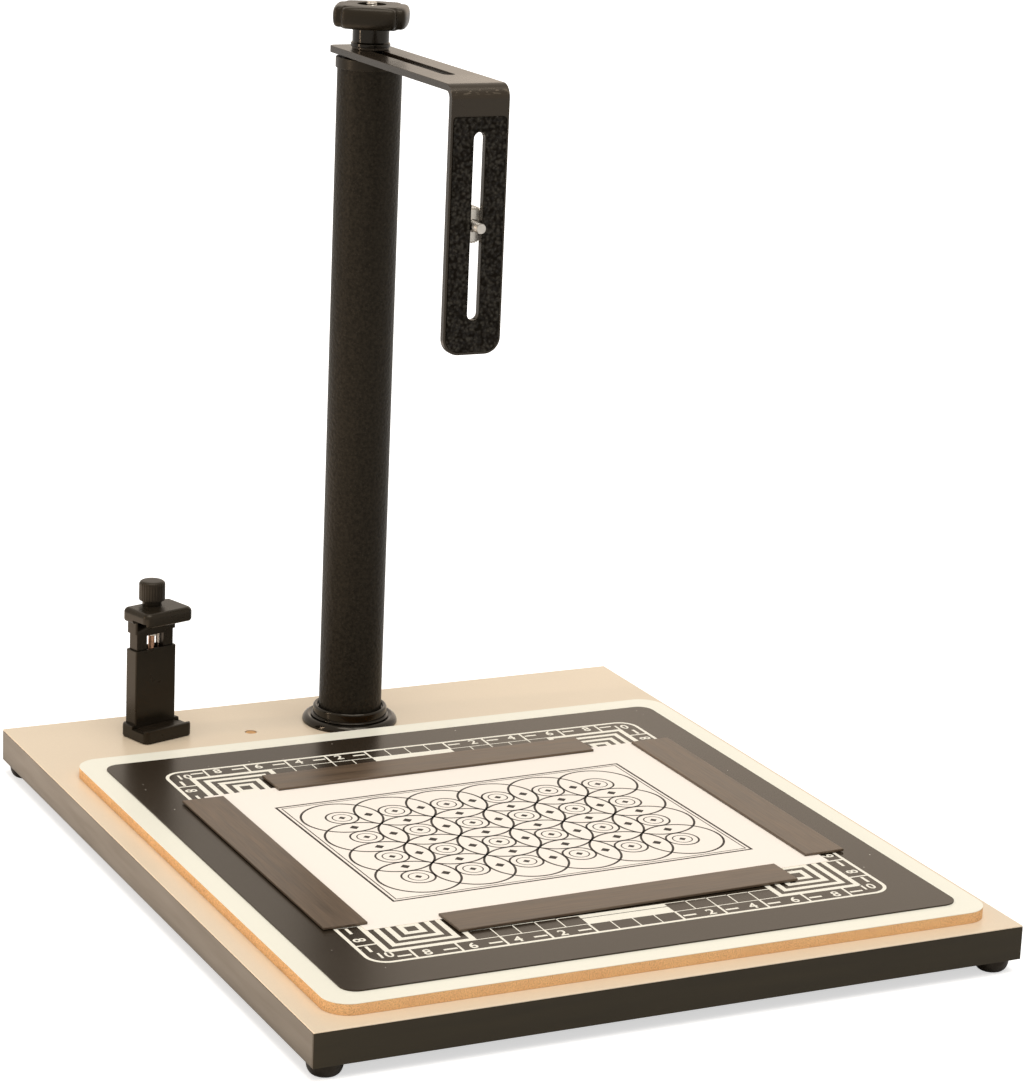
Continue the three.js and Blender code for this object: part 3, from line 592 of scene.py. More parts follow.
class StageLight(bpy.types.PropertyGroup):
    floor_side: length("Floor side", 14.0, "Side of the floor")
    floor_start: length("Floor start", 0.5, "Where the floor's glow begins to change")
    floor_end: length("Floor end", 2.5, "Where the floor's glow has changed")
    floor_near: strength("Floor near", 0.60, "Glow of the floor at the stand")
    floor_far: strength("Floor far", 0.72, "Glow of the floor away from it")
    floor_shade: colour("Floor shade", (0.80, 0.80, 0.80), "Colour of the floor in the light")
    ambient: strength("Ambient", 0.44, "Light from all round")
    key: strength("Key", 1.92, "Strength of the wide main light")
    side: strength("Side", 7.5, "Power of the left strip", "POWER")
    back: strength("Back", 3.0, "Power of the panel behind", "POWER")
    card: strength("Card", 1.75, "Power of the card at the left", "POWER")
    spark: strength("Spark", 1.2, "Power of the small front light", "POWER")
    ambient_tint: colour("Ambient tint", (1.0, 0.965, 0.92), "Colour of the even light")
    card_tint: colour("Card tint", (1.0, 0.76, 0.55), "Colour of the card at the left")
    panel_tint: colour("Panel tint", (1.0, 0.79, 0.60), "Colour of the strip and the panel")
    mirrored_tint: colour("Mirrored tint", (0.90, 0.80, 0.69), "Background as gloss shows it")
    lens: FloatProperty(
        name="Lens", default=113.80, description="Focal length", subtype="DISTANCE_CAMERA"
    )


# Finishes, each named for its material slot
def laminate_finish(look):
    finish = Finish("beige_laminate", Specular_IOR_Level=0.5)
    tone = finish.tone(finish.noise(14, 4), look.laminate, 0.965, 1.03)
    speck = finish.noise(1500, 2).between(0.35, 0.65) * 0.12
    finish.set(Base_Color=finish.mix(speck, tone, [c * 0.72 for c in look.laminate]))
    finish.set(Roughness=finish.noise(40, 4) * 0.08 + 0.26)
    finish.bump(finish.noise(900, 3), 0.00003, 0.35)


def chips_finish(look):
    finish = Finish("particle_board", Roughness=0.92, Specular_IOR_Level=0.2)
    place = finish.stretched((1, 1, 2.6))
    value = finish.node("SeparateColor", {0: finish.cells(420, place, "Color")})
    tone = finish.tone(value, look.chips, 0.55, 1.5)
    finish.set(Base_Color=finish.darken(tone, finish.noise(1200, 4).between(0.3, 0.6), 0.7))
    finish.bump(finish.cells(420, place), 0.0004, 0.8)


def band_finish(look):
    finish = Finish("dark_band", Specular_Tint=WARM, Specular_IOR_Level=0.4)
    smear = finish.noise(60, 5, finish.stretched((0.25, 0.25, 3)))
    finish.set(Base_Color=finish.tone(smear, look.band, 0.7, 1.5), Roughness=smear * 0.24 + 0.22)
    finish.bump(finish.noise(2200, 3), 0.00001, 0.3)


def rubber_finish(look):
    finish = Finish("black_rubber", Specular_Tint=WARM, Specular_IOR_Level=0.25)
    pebble = finish.pebbles(620)
    finish.set(Base_Color=finish.tone(pebble, look.rubber, 1, 2.2))
    finish.set(Roughness=finish.noise(300, 3) * 0.2 + 0.26)
    finish.bump(pebble, 0.00025, 0.7)


def grip_finish(look):
    """Glossy pebbles with dull creases between them; the crests are lightened as a painted
    highlight and the creases darkened as painted shade.
    """
    finish = Finish("grip_rubber", Specular_Tint=WARM, Specular_IOR_Level=0.07,
                    Coat_Roughness=0.18, Roughness=0.5)
    pebble = finish.pebbles(560)
    crest = pebble.between(0.62, 0.25)
    # Painted highlight: the crests' colour is lightened towards a pale grey, and the darker rubber
    # in the creases is painted shade.
    crest_painted_highlight = crest * finish.noise(420, 2).between(0.42, 0.58)
    finish.set(Base_Color=finish.mix(crest_painted_highlight, [c * 0.5 for c in look.rubber], [0.030, 0.027, 0.021]))
    finish.set(Coat_Weight=crest * 0.28)
    finish.bump(1 - pebble, 0.0006)


def wood_finish(look):
    finish = Finish("raw_wood", Roughness=0.8, Specular_IOR_Level=0.3)
    grain = finish.noise(900, 5, finish.stretched((0.18, 1, 0.4), 0.5))
    finish.set(Base_Color=finish.tone(grain.between(0.3, 0.7), look.wood, 0.62, 1.15))
    finish.bump(grain, 0.0002, 0.8)


def powder_finish(look):
    finish = Finish("textured_black", Specular_Tint=WARM, Specular_IOR_Level=0.12)
    cloud = finish.noise(520, 5, roughness=0.65)
    # Painted highlight: the lighter specks stand in for tiny glints on the powder coat.
    speck = finish.noise(1100, 2).between(0.60, 0.72) * 0.22
    tone = finish.tone(cloud.between(0.38, 0.62), look.powder, 0.65, 1.5)
    finish.set(Base_Color=finish.mix(speck, tone, [0.085, 0.075, 0.060]))
    finish.set(Roughness=cloud * 0.2 + 0.30)
    finish.bump(finish.pebbles(520) + finish.noise(420, 3) * 0.8, 0.00030, 0.8)


def paint_finish(look):
    """Satin paint, rubbed through in specks along the outside of the bracket's bend."""
    finish = Finish("satin_black", Specular_Tint=WARM, Specular_IOR_Level=0.5,
                    Coat_Roughness=0.2, Coat_Weight=0.08)
    cloud = finish.noise(30, 4)
    low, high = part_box("arm_bracket")
    height, depth = (finish.node("SeparateXYZ", {0: finish.place}, axis) for axis in "ZY")
    above = height.between(high.z - 0.0058, high.z - 0.0044)
    below = 1 - height.between(high.z - 0.0034, high.z - 0.0022)
    outside = 1 - depth.between(low.y + 0.003, low.y + 0.005)
    streaks = finish.noise(700, 4, finish.stretched((0.35, 1, 1))).between(0.54, 0.62)
    rubbed = above * below * streaks * outside * 0.4
    finish.set(Base_Color=finish.mix(rubbed, finish.tone(cloud, look.paint, 0.85, 1.2), look.worn))
    finish.set(Roughness=cloud * 0.10 + 0.22)
    finish.bump(finish.noise(380, 2), 0.00002, 0.3)


def board_edge_finish(look):
    finish = Finish("board_fibre", Roughness=0.9, Specular_IOR_Level=0.2)
    fuzz = finish.noise(1500, 6, roughness=0.7)
    tone = finish.tone(finish.noise(120, 4), look.board_edge, 0.88, 1.12)
    finish.set(Base_Color=finish.darken(tone, fuzz.between(0.36, 0.55), 0.55))
    finish.bump(fuzz, 0.0002, 0.8)


def board_face_finish(look):
    finish = Finish("pale_face", Specular_IOR_Level=0.5)
    finish.set(Base_Color=finish.tone(finish.noise(12, 4), look.board_face, 0.975, 1))
    finish.set(Roughness=finish.noise(60, 4) * 0.08 + 0.30)
    finish.bump(finish.noise(700, 3), 0.00002, 0.3)


def mat_finish(look):
    finish = Finish("mat_black", Specular_Tint=WARM, Specular_IOR_Level=0.33)
    cloud = finish.noise(10, 5)
    patches = finish.noise(22, 2).between(0.52, 0.58)
    specks = finish.cells(110).between(0.055, 0.035) * patches * 0.8
    finish.set(Base_Color=finish.mix(specks, finish.tone(cloud, look.mat, 0.85, 1.2), look.dust))
    finish.set(Roughness=cloud * 0.10 + 0.20)
    finish.bump(finish.noise(2600, 2), 0.000004, 0.3)


def paper_finish(look):
    finish = Finish("paper", Roughness=0.85, Specular_IOR_Level=0.25)
    fibre = finish.noise(1300, 5)
    tone = finish.tone(finish.noise(18, 3), look.paper, 0.985, 1)
    finish.set(Base_Color=finish.darken(tone, fibre.between(0.25, 0.6), 0.975))
    finish.bump(fibre, 0.00003, 0.4)


def magnet_finish(look):
    """Calendered rubber; its fine lines run along X, or along Y on the deep bars."""
    for name, share in (("magnet_rubber", (0.03, 1, 1)), ("magnet_rubber_deep", (1, 0.03, 1))):
        finish = Finish(name, Specular_IOR_Level=0.5)
        place = finish.stretched(share)
        line, broad = finish.noise(1300, 3, place), finish.noise(240, 4, place)
        tone = finish.tone(broad.between(0.3, 0.7), look.magnet, 0.72, 1.2)
        finish.set(Base_Color=finish.darken(tone, line.between(0.35, 0.6), 0.66))
        finish.set(Roughness=broad * 0.16 + 0.26)
        finish.bump(line + broad * 0.5, 0.000012, 0.3)


def print_finish(look):
    finish = Finish("scale_print", Specular_IOR_Level=0.4)
    worn = finish.noise(700, 4)
    finish.set(Base_Color=finish.darken(look.print_white, worn.between(0.2, 0.5), 0.9))
    finish.set(Roughness=worn * 0.1 + 0.42)


def fibrous_finish(name, dark, light, scale, stretch, bump, **constants):
    """Strands that lie across the piece, from a dark colour to a light one."""
    finish = Finish(name, **constants)
    strand = finish.noise(scale, 5, finish.stretched((1, stretch, 1)))
    finish.set(Base_Color=finish.mix(strand, dark, light))
    finish.bump(strand, 0.0001, bump)


def cloudy_finish(name, colour, tone, cloud, rough, grain=None, bump=(), **constants):
    """Two shades of a colour in clouds, roughness that follows them, and a fine grain.

    tone is the darker and the lighter share, rough the least roughness and its spread,
    grain a noise's scale and detail, and bump that grain's depth and strength.
    """
    finish = Finish(name, **constants)
    level = finish.noise(cloud, 4)
    finish.set(Base_Color=finish.tone(level, colour, *tone))
    if rough:
        finish.set(Roughness=level * rough[1] + rough[0])
    if grain:
        finish.bump(finish.noise(*grain), *bump)


def other_finishes(look):
    """The finishes that differ only in their numbers."""
    fibrous_finish("backer_sheet", look.backer_dark, look.backer, 260, 0.25, 0.5,
                   Roughness=0.75, Specular_IOR_Level=0.3)
    fibrous_finish("dark_fibre", look.fibre_dark, look.fibre, 1400, 0.3, 0.6,
                   Roughness=0.85, Specular_IOR_Level=0.25)
    cloudy_finish("gloss_black", look.moulding, (0.3, 0.5), 70, (0.10, 0.10), (240, 2),
                  (0.00003, 0.3), Specular_Tint=WARM, Specular_IOR_Level=0.29,
                  Coat_Roughness=0.06, Coat_Weight=0.12)
    for name, rough, depth in (
        ("moulded_black", 0.26, 0.000012),
        ("clamp_plastic", 0.22, 0.000010),
    ):
        cloudy_finish(name, look.moulding, (0.85, 1.3), 80, (rough, 0.14), (1900, 3),
                      (depth, 0.5), Specular_Tint=WARM, Specular_IOR_Level=0.26)
    cloudy_finish("zinc_steel", look.steel, (0.8, 1.15), 300, (0.20, 0.18), (2500, 2),
                  (0.00002, 0.4), Metallic=1.0)
    cloudy_finish("brass", look.brass, (0.75, 1.15), 400, (0.24, 0.20), Metallic=1.0)
    cloudy_finish("drawing_ink", look.ink, (1, 2), 900, (), Roughness=0.7,
                  Specular_IOR_Level=0.3)


FINISHES = (
    laminate_finish, chips_finish, band_finish, rubber_finish, grip_finish, wood_finish,
    powder_finish, paint_finish, board_edge_finish, board_face_finish, mat_finish,
    paper_finish, magnet_finish, print_finish, other_finishes,
)


class COPYSTAND_OT_finishes(bpy.types.Operator):
    """Make every finish, named for the part of the stand that wears it"""

    bl_idname = "copy_stand.finishes"
    bl_label = "Finishes"

    def execute(self, context):
        for make in FINISHES:
            make(context.scene.copy_stand_colours)
        return {"FINISHED"}


FRAME_FINISHES = {
    "particle_board": ("base_core",),
    "backer_sheet": ("base_backer",),
    "zinc_steel": (
        "column_bottom_plug", "column_top_plug", "column_bolt_washer", "column_bolt",
        "clamp_guide_rod_left", "clamp_guide_rod_right",
    ),
    "black_rubber": ("clamp_lower_pad", "clamp_upper_pad"),
    "brass": ("clamp_nut", "clamp_tripod_insert", "knob_insert"),
}


class COPYSTAND_OT_frame_finishes(bpy.types.Operator):
    """Give each piece of the frame that stays in view its finish"""

    bl_idname = "copy_stand.frame_finishes"
    bl_label = "Frame finishes"

    def execute(self, context):
        for slot, nodes in FRAME_FINISHES.items():
            for node in nodes:
                wear(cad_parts[node], slot)
        return {"FINISHED"}


class COPYSTAND_OT_baseboard(bpy.types.Operator):
    """Model the laminate with its drilled hole, the edge bands and the wood plug"""

    bl_idname = "copy_stand.baseboard"
    bl_label = "Baseboard"

    def execute(self, context):
        sizes = context.scene.copy_stand_baseboard
        low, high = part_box("base_laminate")
        laminate = block("laminate_sheet", low, high)
        radius, over = radius_of("base_hole_plug"), stood_on("base_hole_plug")
        depth = high.z - low.z
        drill = rod("drill", radius + sizes.plug_margin, low.z - depth, high.z + depth, facets=64)
        carve(laminate, settle(drill, over))
        soften(laminate, sizes.laminate_edge, 3)
        fit(laminate, "root", "beige_laminate", "base_laminate")
        for side in ("front", "back", "left", "right"):
            band = block(f"edge_strip_{side}", *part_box(f"edge_band_{side}"))
            fit(soften(band, sizes.band_edge), "root", "dark_band", f"edge_band_{side}")
        wood = rod("spare_hole_plug", radius, *heights("base_hole_plug"), sizes.plug_margin, 64)
        fit(settle(wood, over), "root", "raw_wood", "base_hole_plug")
        return {"FINISHED"}


class COPYSTAND_OT_feet(bpy.types.Operator):
    """Model one rubber foot and its screw, and copy them to the four corners"""

    bl_idname = "copy_stand.feet"
    bl_label = "Feet"

    def execute(self, context):
        sizes = context.scene.copy_stand_baseboard
        head = radius_of("foot_screw_front_left")
        seat = heights("foot_screw_front_left")[0] + head * 0.7
        foot = self.make_foot(sizes, head, seat)
        screw = self.make_screw(sizes, head, seat)
        for corner in ("front_left", "front_right", "back_left", "back_right"):
            shift = stood_on(f"foot_{corner}")
            bumper = copied(foot, f"rubber_foot_{corner}", shift)
            fit(bumper, "root", "black_rubber", f"foot_{corner}")
            pan = shade(copied(screw, f"pan_screw_{corner}", shift))
            fit(pan, "root", "zinc_steel", f"foot_screw_{corner}")
        for master in (foot, screw):
            bpy.data.objects.remove(master)
        return {"FINISHED"}

    def make_foot(self, sizes, head, seat):
        """A domed tread round a bore that takes the screw's head up to its seat."""
        outer, height = radius_of("foot_front_left"), size("foot_front_left").z
        edge = sizes.foot_edge
        bore = head + sizes.plug_margin
        tread, dome = bore + 2 * edge, height * 0.82
        turns = [math.radians(angle) for angle in range(-84, 1, 7)]
        return turned("rubber_foot", [
            (bore + edge, 0),
            (tread, 0),
            *((tread + (outer - tread) * math.cos(turn), dome * (1 + math.sin(turn)))
              for turn in turns),
            (outer, height),
            (head / 2, height),
            (head / 2, seat),
            (bore, seat),
            *arc(bore + edge, edge, edge, 180, 270, 4),
        ], facets=72, solid=False)

    def make_screw(self, sizes, head, seat):
        """A pan head with a cross in it, and a pointed shank above."""
        bottom, top = heights("foot_screw_front_left")
        shank, point = head * 0.47, head * 0.05
        screw = turned("foot_pan_screw", [
            *arc(0, bottom + head, head, -89, -45, 4),
            (head, seat - head / 3),
            (head, seat),
            (shank, seat),
            (shank, top - head),
            (point, top),
        ], facets=40)
        arm = Vector((head * 0.6, head * 0.1, 0))
        base, roof = AXIS_Z * (bottom - sizes.foot_edge), AXIS_Z * (seat - sizes.foot_edge)
        cross = block("cross", base - arm, roof + arm)
        other = copied(cross, "cross_other", Matrix.Rotation(QUARTER, 4, "Z"))
        return carve(screw, cross, other)


class COPYSTAND_OT_column(bpy.types.Operator):
    """Turn the column's tube, flange, cap, friction disc and threaded stud"""

    bl_idname = "copy_stand.column"
    bl_label = "Column"

    def execute(self, context):
        sizes = context.scene.copy_stand_column
        over = stood_on("column_tube")
        radius, stud_radius = radius_of("column_tube"), radius_of("column_stud")
        tube = ring("column_sleeve", radius, radius - sizes.wall, *heights("column_tube"),
                    sizes.wall / 4, 160)
        fit(settle(tube, over), "root", "textured_black", "column_tube")
        flange = self.make_flange(sizes, radius)
        fit(settle(flange, over), "root", "gloss_black", "column_flange")
        cap = self.make_cap(radius, stud_radius)
        fit(settle(cap, over), "root", "moulded_black", "column_cap")
        disc = ring("fibre_disc", radius_of("friction_disc"), stud_radius * LOOSE,
                    *heights("friction_disc"), sizes.wall / 12)
        fit(settle(disc, over), "swing_disc", "dark_fibre", "friction_disc")
        stud = threaded("threaded_stud", stud_radius, *heights("column_stud"),
                        sizes.thread_pitch, sizes.thread_depth)
        fit(settle(stud, over), "root", "zinc_steel", "column_stud")
        return {"FINISHED"}

    def make_flange(self, sizes, bore):
        """A skirt with a rolled rim, a hollow shoulder and a bead round the column."""
        outer = radius_of("column_flange")
        base, top = heights("column_flange")
        inner, skirt = bore + sizes.gap, sizes.skirt
        bead, neck, lip = sizes.bead, sizes.neck, sizes.lip
        step = base + skirt * 1.2
        return turned("column_collar", [
            (inner, base),
            *arc(outer - skirt / 6, base + skirt / 6, skirt / 6, -90, -20, 4),
            *arc(outer - skirt, base + skirt / 5, skirt, 4, 88, 12),
            (neck + bead * 2.6, step - bead),
            *arc(neck + bead, step, bead, -80, 90, 6),
            (neck + bead / 3, step + bead),
            (neck, step + bead * 1.5),
            *arc(neck - lip, top - lip, lip, 0, 165, 12),
            (neck - lip * 1.9, top - lip * 1.6),
            (inner, top - lip * 1.8),
            (inner, base),
        ], facets=160, solid=False)

    def make_cap(self, bore, stud_radius):
        """A lid with a rounded rim whose skirt hangs a little clear of the column."""
        outer = radius_of("column_cap")
        bottom, top = heights("column_cap")
        wall = outer - bore
        inner, hole, ceiling = bore + wall / 4, stud_radius + wall / 4, top - wall * 1.5
        return turned("column_end_cap", [
            (inner, bottom),
            *arc(outer - wall / 4, bottom + wall / 4, wall / 4, -90, 0),
            *arc(outer - wall / 2, top - wall / 2, wall / 2, 0, 90, 5),
            (hole, top),
            (hole, ceiling),
            (inner, ceiling),
            (inner, bottom),
        ], facets=128, solid=False)


class COPYSTAND_OT_bracket(bpy.types.Operator):
    """Bend the flat bar, cut its two slots, and lay the pebbled grip pad on its leg"""

    bl_idname = "copy_stand.bracket"
    bl_label = "Bracket"

    def execute(self, context):
        sizes = context.scene.copy_stand_bracket
        low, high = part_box("arm_bracket")
        axis, thick = centre("column_stud"), sizes.thickness
        arm_slot = (
            Vector((axis.x, low.y + sizes.arm_slot_front, high.z - 2 * thick)),
            Vector((axis.x, axis.y + sizes.arm_slot_tail, high.z + thick)),
        )
        leg_slot = (
            Vector((axis.x, low.y - thick, low.z + sizes.leg_slot_foot)),
            Vector((axis.x, low.y + 2 * thick, high.z - sizes.leg_slot_head)),
        )
        bar = self.bend_bar(sizes, low, high)
        carve(bar, self.slot_cutter(sizes.slot_width, *arm_slot, "z"))
        carve(bar, self.slot_cutter(sizes.slot_width, *leg_slot, "y"))
        soften(bar, sizes.edge, 3)
        fit(bar, "bracket", "satin_black", "arm_bracket")
        self.make_pad(sizes, *leg_slot)
        self.make_camera_screw(sizes, context.scene.copy_stand_column)
        return {"FINISHED"}

    def bend_bar(self, sizes, low, high):
        """The arm as a flat bar, its leg drawn down from the front and the bend rounded."""
        thick = sizes.thickness
        inside = {"y": low.y + thick, "z": high.z - thick}
        bar = block("bent_bar", (low.x, low.y, inside["z"]), high)
        begin_edit(bar, "FACE", "SELECT")
        bpy.ops.mesh.bisect(plane_co=(0, inside["y"], 0), plane_no=AXIS_Y)
        end_edit()
        pick_faces(bar, lambda middle, normal: normal.z < -0.9 and middle.y < inside["y"])
        move = {"value": (0, 0, low.z - inside["z"]), "orient_type": "GLOBAL"}
        bpy.ops.mesh.extrude_region_move(TRANSFORM_OT_translate=move)
        bpy.ops.mesh.select_all(action="SELECT")
        bpy.ops.mesh.dissolve_limited()
        end_edit()
        round_edges(bar, sizes.bend, 16, along("x", y=low.y, z=high.z))
        round_edges(bar, sizes.bend - thick, 12, along("x", **inside))
        round_edges(bar, sizes.tail_corner, 6, along("z", y=high.y))
        return round_edges(bar, sizes.leg_corner, 14, along("y", z=low.z))

    def slot_cutter(self, width, low, high, through):
        """A block with two round ends that passes through the bar along one axis."""
        half = Vector((width / 2, 0, 0))
        cutter = block("slot_cutter", low - half, high + half)
        return round_edges(cutter, width / 2 - SAME, 12, along(through))

    def make_pad(self, sizes, slot_low, slot_high):
        low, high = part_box("bracket_pad")
        pad = block("grip_pad", low, high)
        corner = sizes.leg_corner - (low.z - heights("arm_bracket")[0])
        round_edges(pad, corner, 10, along("y", z=low.z))
        round_edges(pad, corner / 4, 5, along("y", z=high.z))
        gap = AXIS_Z * sizes.edge / 2
        wide = sizes.slot_width + sizes.edge
        carve(pad, self.slot_cutter(wide, slot_low - gap, slot_high + gap, "y"))
        self.pebble(pad, sizes, low.y)
        fit(pad, "bracket", "black_rubber", "bracket_pad", look="grip_rubber")

    def pebble(self, pad, sizes, face):
        """Remeshes the pad finely and presses a pebbled grain into its front."""
        modify(pad, "REMESH", mode="VOXEL", voxel_size=sizes.pebble * 1.3)
        grain = bpy.data.textures.new("pad_grain", "VORONOI")
        grain.noise_scale = sizes.pebble * 8
        grain.distance_metric = "DISTANCE"
        front = pad.vertex_groups.new(name="front")
        limit = face + sizes.pebble
        near = [corner.index for corner in pad.data.vertices if corner.co.y < limit]
        front.add(near, 1.0, "REPLACE")
        modify(pad, "DISPLACE", texture=grain, texture_coords="GLOBAL", direction="Y",
               strength=sizes.pebble * 3, mid_level=0.0, vertex_group=front.name)
        shade(pad, math.radians(50))

    def make_camera_screw(self, sizes, threads):
        """A knurled head behind the leg, its washer, and a threaded tip in front."""
        low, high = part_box("camera_screw")
        washer_low, washer_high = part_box("camera_screw_washer")
        middle, seat = centre("camera_screw"), washer_high.y
        radius, shank_radius = radius_of("camera_screw"), radius_of("column_stud")
        head, thickness = high.y - seat, seat - washer_low.y
        edge = head / 10
        grip = turned("thumbscrew_head", [
            (radius - edge, 0),
            (radius, edge),
            (radius, head / 2),
            *arc(radius - edge, head - edge, edge, 0, 90, 4),
            (radius * 0.62, head),
            (radius * 0.58, head - edge / 2),
            (radius * 0.02, head - edge / 2),
        ], facets=160)

        def knurled(reach, angle, height):
            if reach <= radius - edge * 1.05:
                return 1
            return 1 - sizes.knurl * (1 - abs(math.sin(sizes.knurls / 2 * angle)))

        reshape(grip, knurled)
        stand = Matrix.Translation((middle.x, seat, middle.z)) @ Matrix.Rotation(-QUARTER, 4, "X")
        settle(shade(grip), stand)
        shank = threaded("thumbscrew_thread", shank_radius, low.y - seat, edge,
                         threads.thread_pitch, threads.thread_depth)
        settle(shank, stand)
        for piece in (grip, shank):
            fit(piece, "camera_thumbscrew", "zinc_steel", "camera_screw")
        washer = ring("thumbscrew_washer", radius_of("camera_screw_washer"), shank_radius * 1.1,
                      -thickness, 0, thickness / 8)
        fit(settle(washer, stand), "camera_screw_carrier", "zinc_steel", "camera_screw_washer")


class COPYSTAND_OT_knob(bpy.types.Operator):
    """Model the four-lobed knob over its glossy boss and washer"""

    bl_idname = "copy_stand.knob"
    bl_label = "Knob"

    def execute(self, context):
        sizes = context.scene.copy_stand_knob
        over = stood_on("column_stud", sizes.turn)
        bottom, top = heights("star_knob")
        under, above = bottom + sizes.boss_height, top + sizes.edge
        bore = radius_of("column_stud") * LOOSE
        grip = self.make_lobes(sizes, under, top)
        recess = rod("recess", sizes.recess_radius, top - sizes.recess_depth, above, facets=96)
        carve(grip, recess, rod("stud_hole", bore, bottom, above))
        soften(grip, sizes.edge / 4, 3, SHARP_ANGLE)
        fit(settle(grip, over), "knob", "moulded_black", "star_knob")
        boss = self.make_boss(sizes, bore, bottom, under + sizes.edge)
        fit(settle(boss, over), "knob", "gloss_black", "star_knob")
        edge = (sizes.boss_foot - sizes.boss_radius) / 4
        washer = ring("knob_steel_washer", radius_of("knob_washer"), bore,
                      *heights("knob_washer"), edge)
        fit(settle(washer, over), "knob_lift", "satin_black", "knob_washer")
        return {"FINISHED"}

    def make_lobes(self, sizes, bottom, top):
        """A cross of four blocks with cut corners, smoothed into rounded lobes."""
        side, reach = sizes.lobe_side, sizes.lobe_side + sizes.lobe_step
        grip = block("knob_grip", (-side, -side, bottom), (side, side, top))
        pick_faces(grip, lambda middle, normal: abs(normal.z) < 0.5)
        bpy.ops.mesh.extrude_faces_move(TRANSFORM_OT_shrink_fatten={"value": sizes.lobe_step})
        end_edit()
        upright = along("z")

        def inner(start, end):
            return upright(start, end) and max(abs(start.x), abs(start.y)) < side + SAME

        def outer(start, end):
            return upright(start, end) and max(abs(start.x), abs(start.y)) > reach - SAME

        round_edges(grip, sizes.notch, 1, inner)
        round_edges(grip, sizes.lobe_corner, 1, outer)
        soften(grip, sizes.edge, 1, SHARP_ANGLE, held=False)
        return shade(modify(grip, "SUBSURF", levels=3))

    def make_boss(self, sizes, bore, bottom, top):
        """A round boss that flares to its foot."""
        foot = sizes.boss_foot - sizes.boss_radius
        return turned("knob_boss", [
            (bore, bottom),
            *arc(sizes.boss_foot - foot / 3, bottom + foot / 3, foot / 3, -90, 0),
            *arc(sizes.boss_foot - foot / 2, bottom + foot * 2, foot / 2, 0, 80, 4),
            (sizes.boss_radius, bottom + foot * 3.4),
            (sizes.boss_radius, top),
            (bore, top),
            (bore, bottom),
        ], facets=128, solid=False)


class FlatSheet:
    """Flat printed shapes drawn in one mesh, in local places round an origin."""

    def __init__(self, name, origin):
        self.name = name
        self.origin = Vector(origin)
        self.piece = None

    def start(self, x, y):
        """Deselects what is drawn and gives the next shape's place."""
        if self.piece is None:
            clear_selection()
        else:
            bpy.ops.mesh.select_all(action="DESELECT")
        return self.origin + Vector((x, y, 0))

    def note_piece(self):
        """After the first shape, the sheet stays in edit mode and takes the others in."""
        if self.piece is None:
            self.piece = settle(named(self.name))
            begin_edit(self.piece, "FACE", "SELECT")

    def plate(self, x, y, width, depth):
        place = self.start(x, y)
        bpy.ops.mesh.primitive_plane_add(size=width, location=place)
        self.note_piece()
        bpy.ops.transform.resize(value=(1, depth / width, 1), center_override=place)

    def hollow(self, line):
        """Leaves only a line inside the outline of the shape that was drawn last."""
        bpy.ops.mesh.inset(thickness=line)
        bpy.ops.mesh.delete(type="FACE")

    def frame(self, x, y, half_width, half_depth, line, corner=0.0):
        """A rectangular line, its outer corners rounded if a radius is given."""
        self.plate(x, y, 2 * half_width, 2 * half_depth)
        if corner:
            bpy.ops.mesh.bevel(offset=corner, offset_type="OFFSET", segments=8, affect="VERTICES")
        self.hollow(line)

    def bar(self, turn, start, end, near, far):
        """A bar given along the front side, then taken round to its own side."""
        spin = Matrix.Rotation(turn, 2)
        middle = spin @ Vector(((start + end) / 2, (near + far) / 2))
        span = spin @ Vector((end - start, far - near))
        self.plate(middle.x, middle.y, abs(span.x), abs(span.y))

    def dot(self, x, y, radius, facets=4):
        bpy.ops.mesh.primitive_circle_add(
            vertices=facets, radius=radius, location=self.start(x, y), fill_type="NGON"
        )
        self.note_piece()

    def circle(self, x, y, radius, line, facets):
        self.dot(x, y, radius + line / 2, facets)
        self.hollow(line)

    def finish(self, depth):
        end_edit()
        pick_faces(self.piece, lambda middle, normal: normal.z < 0)
        bpy.ops.mesh.flip_normals()
        end_edit()
        return thicken(self.piece, depth)


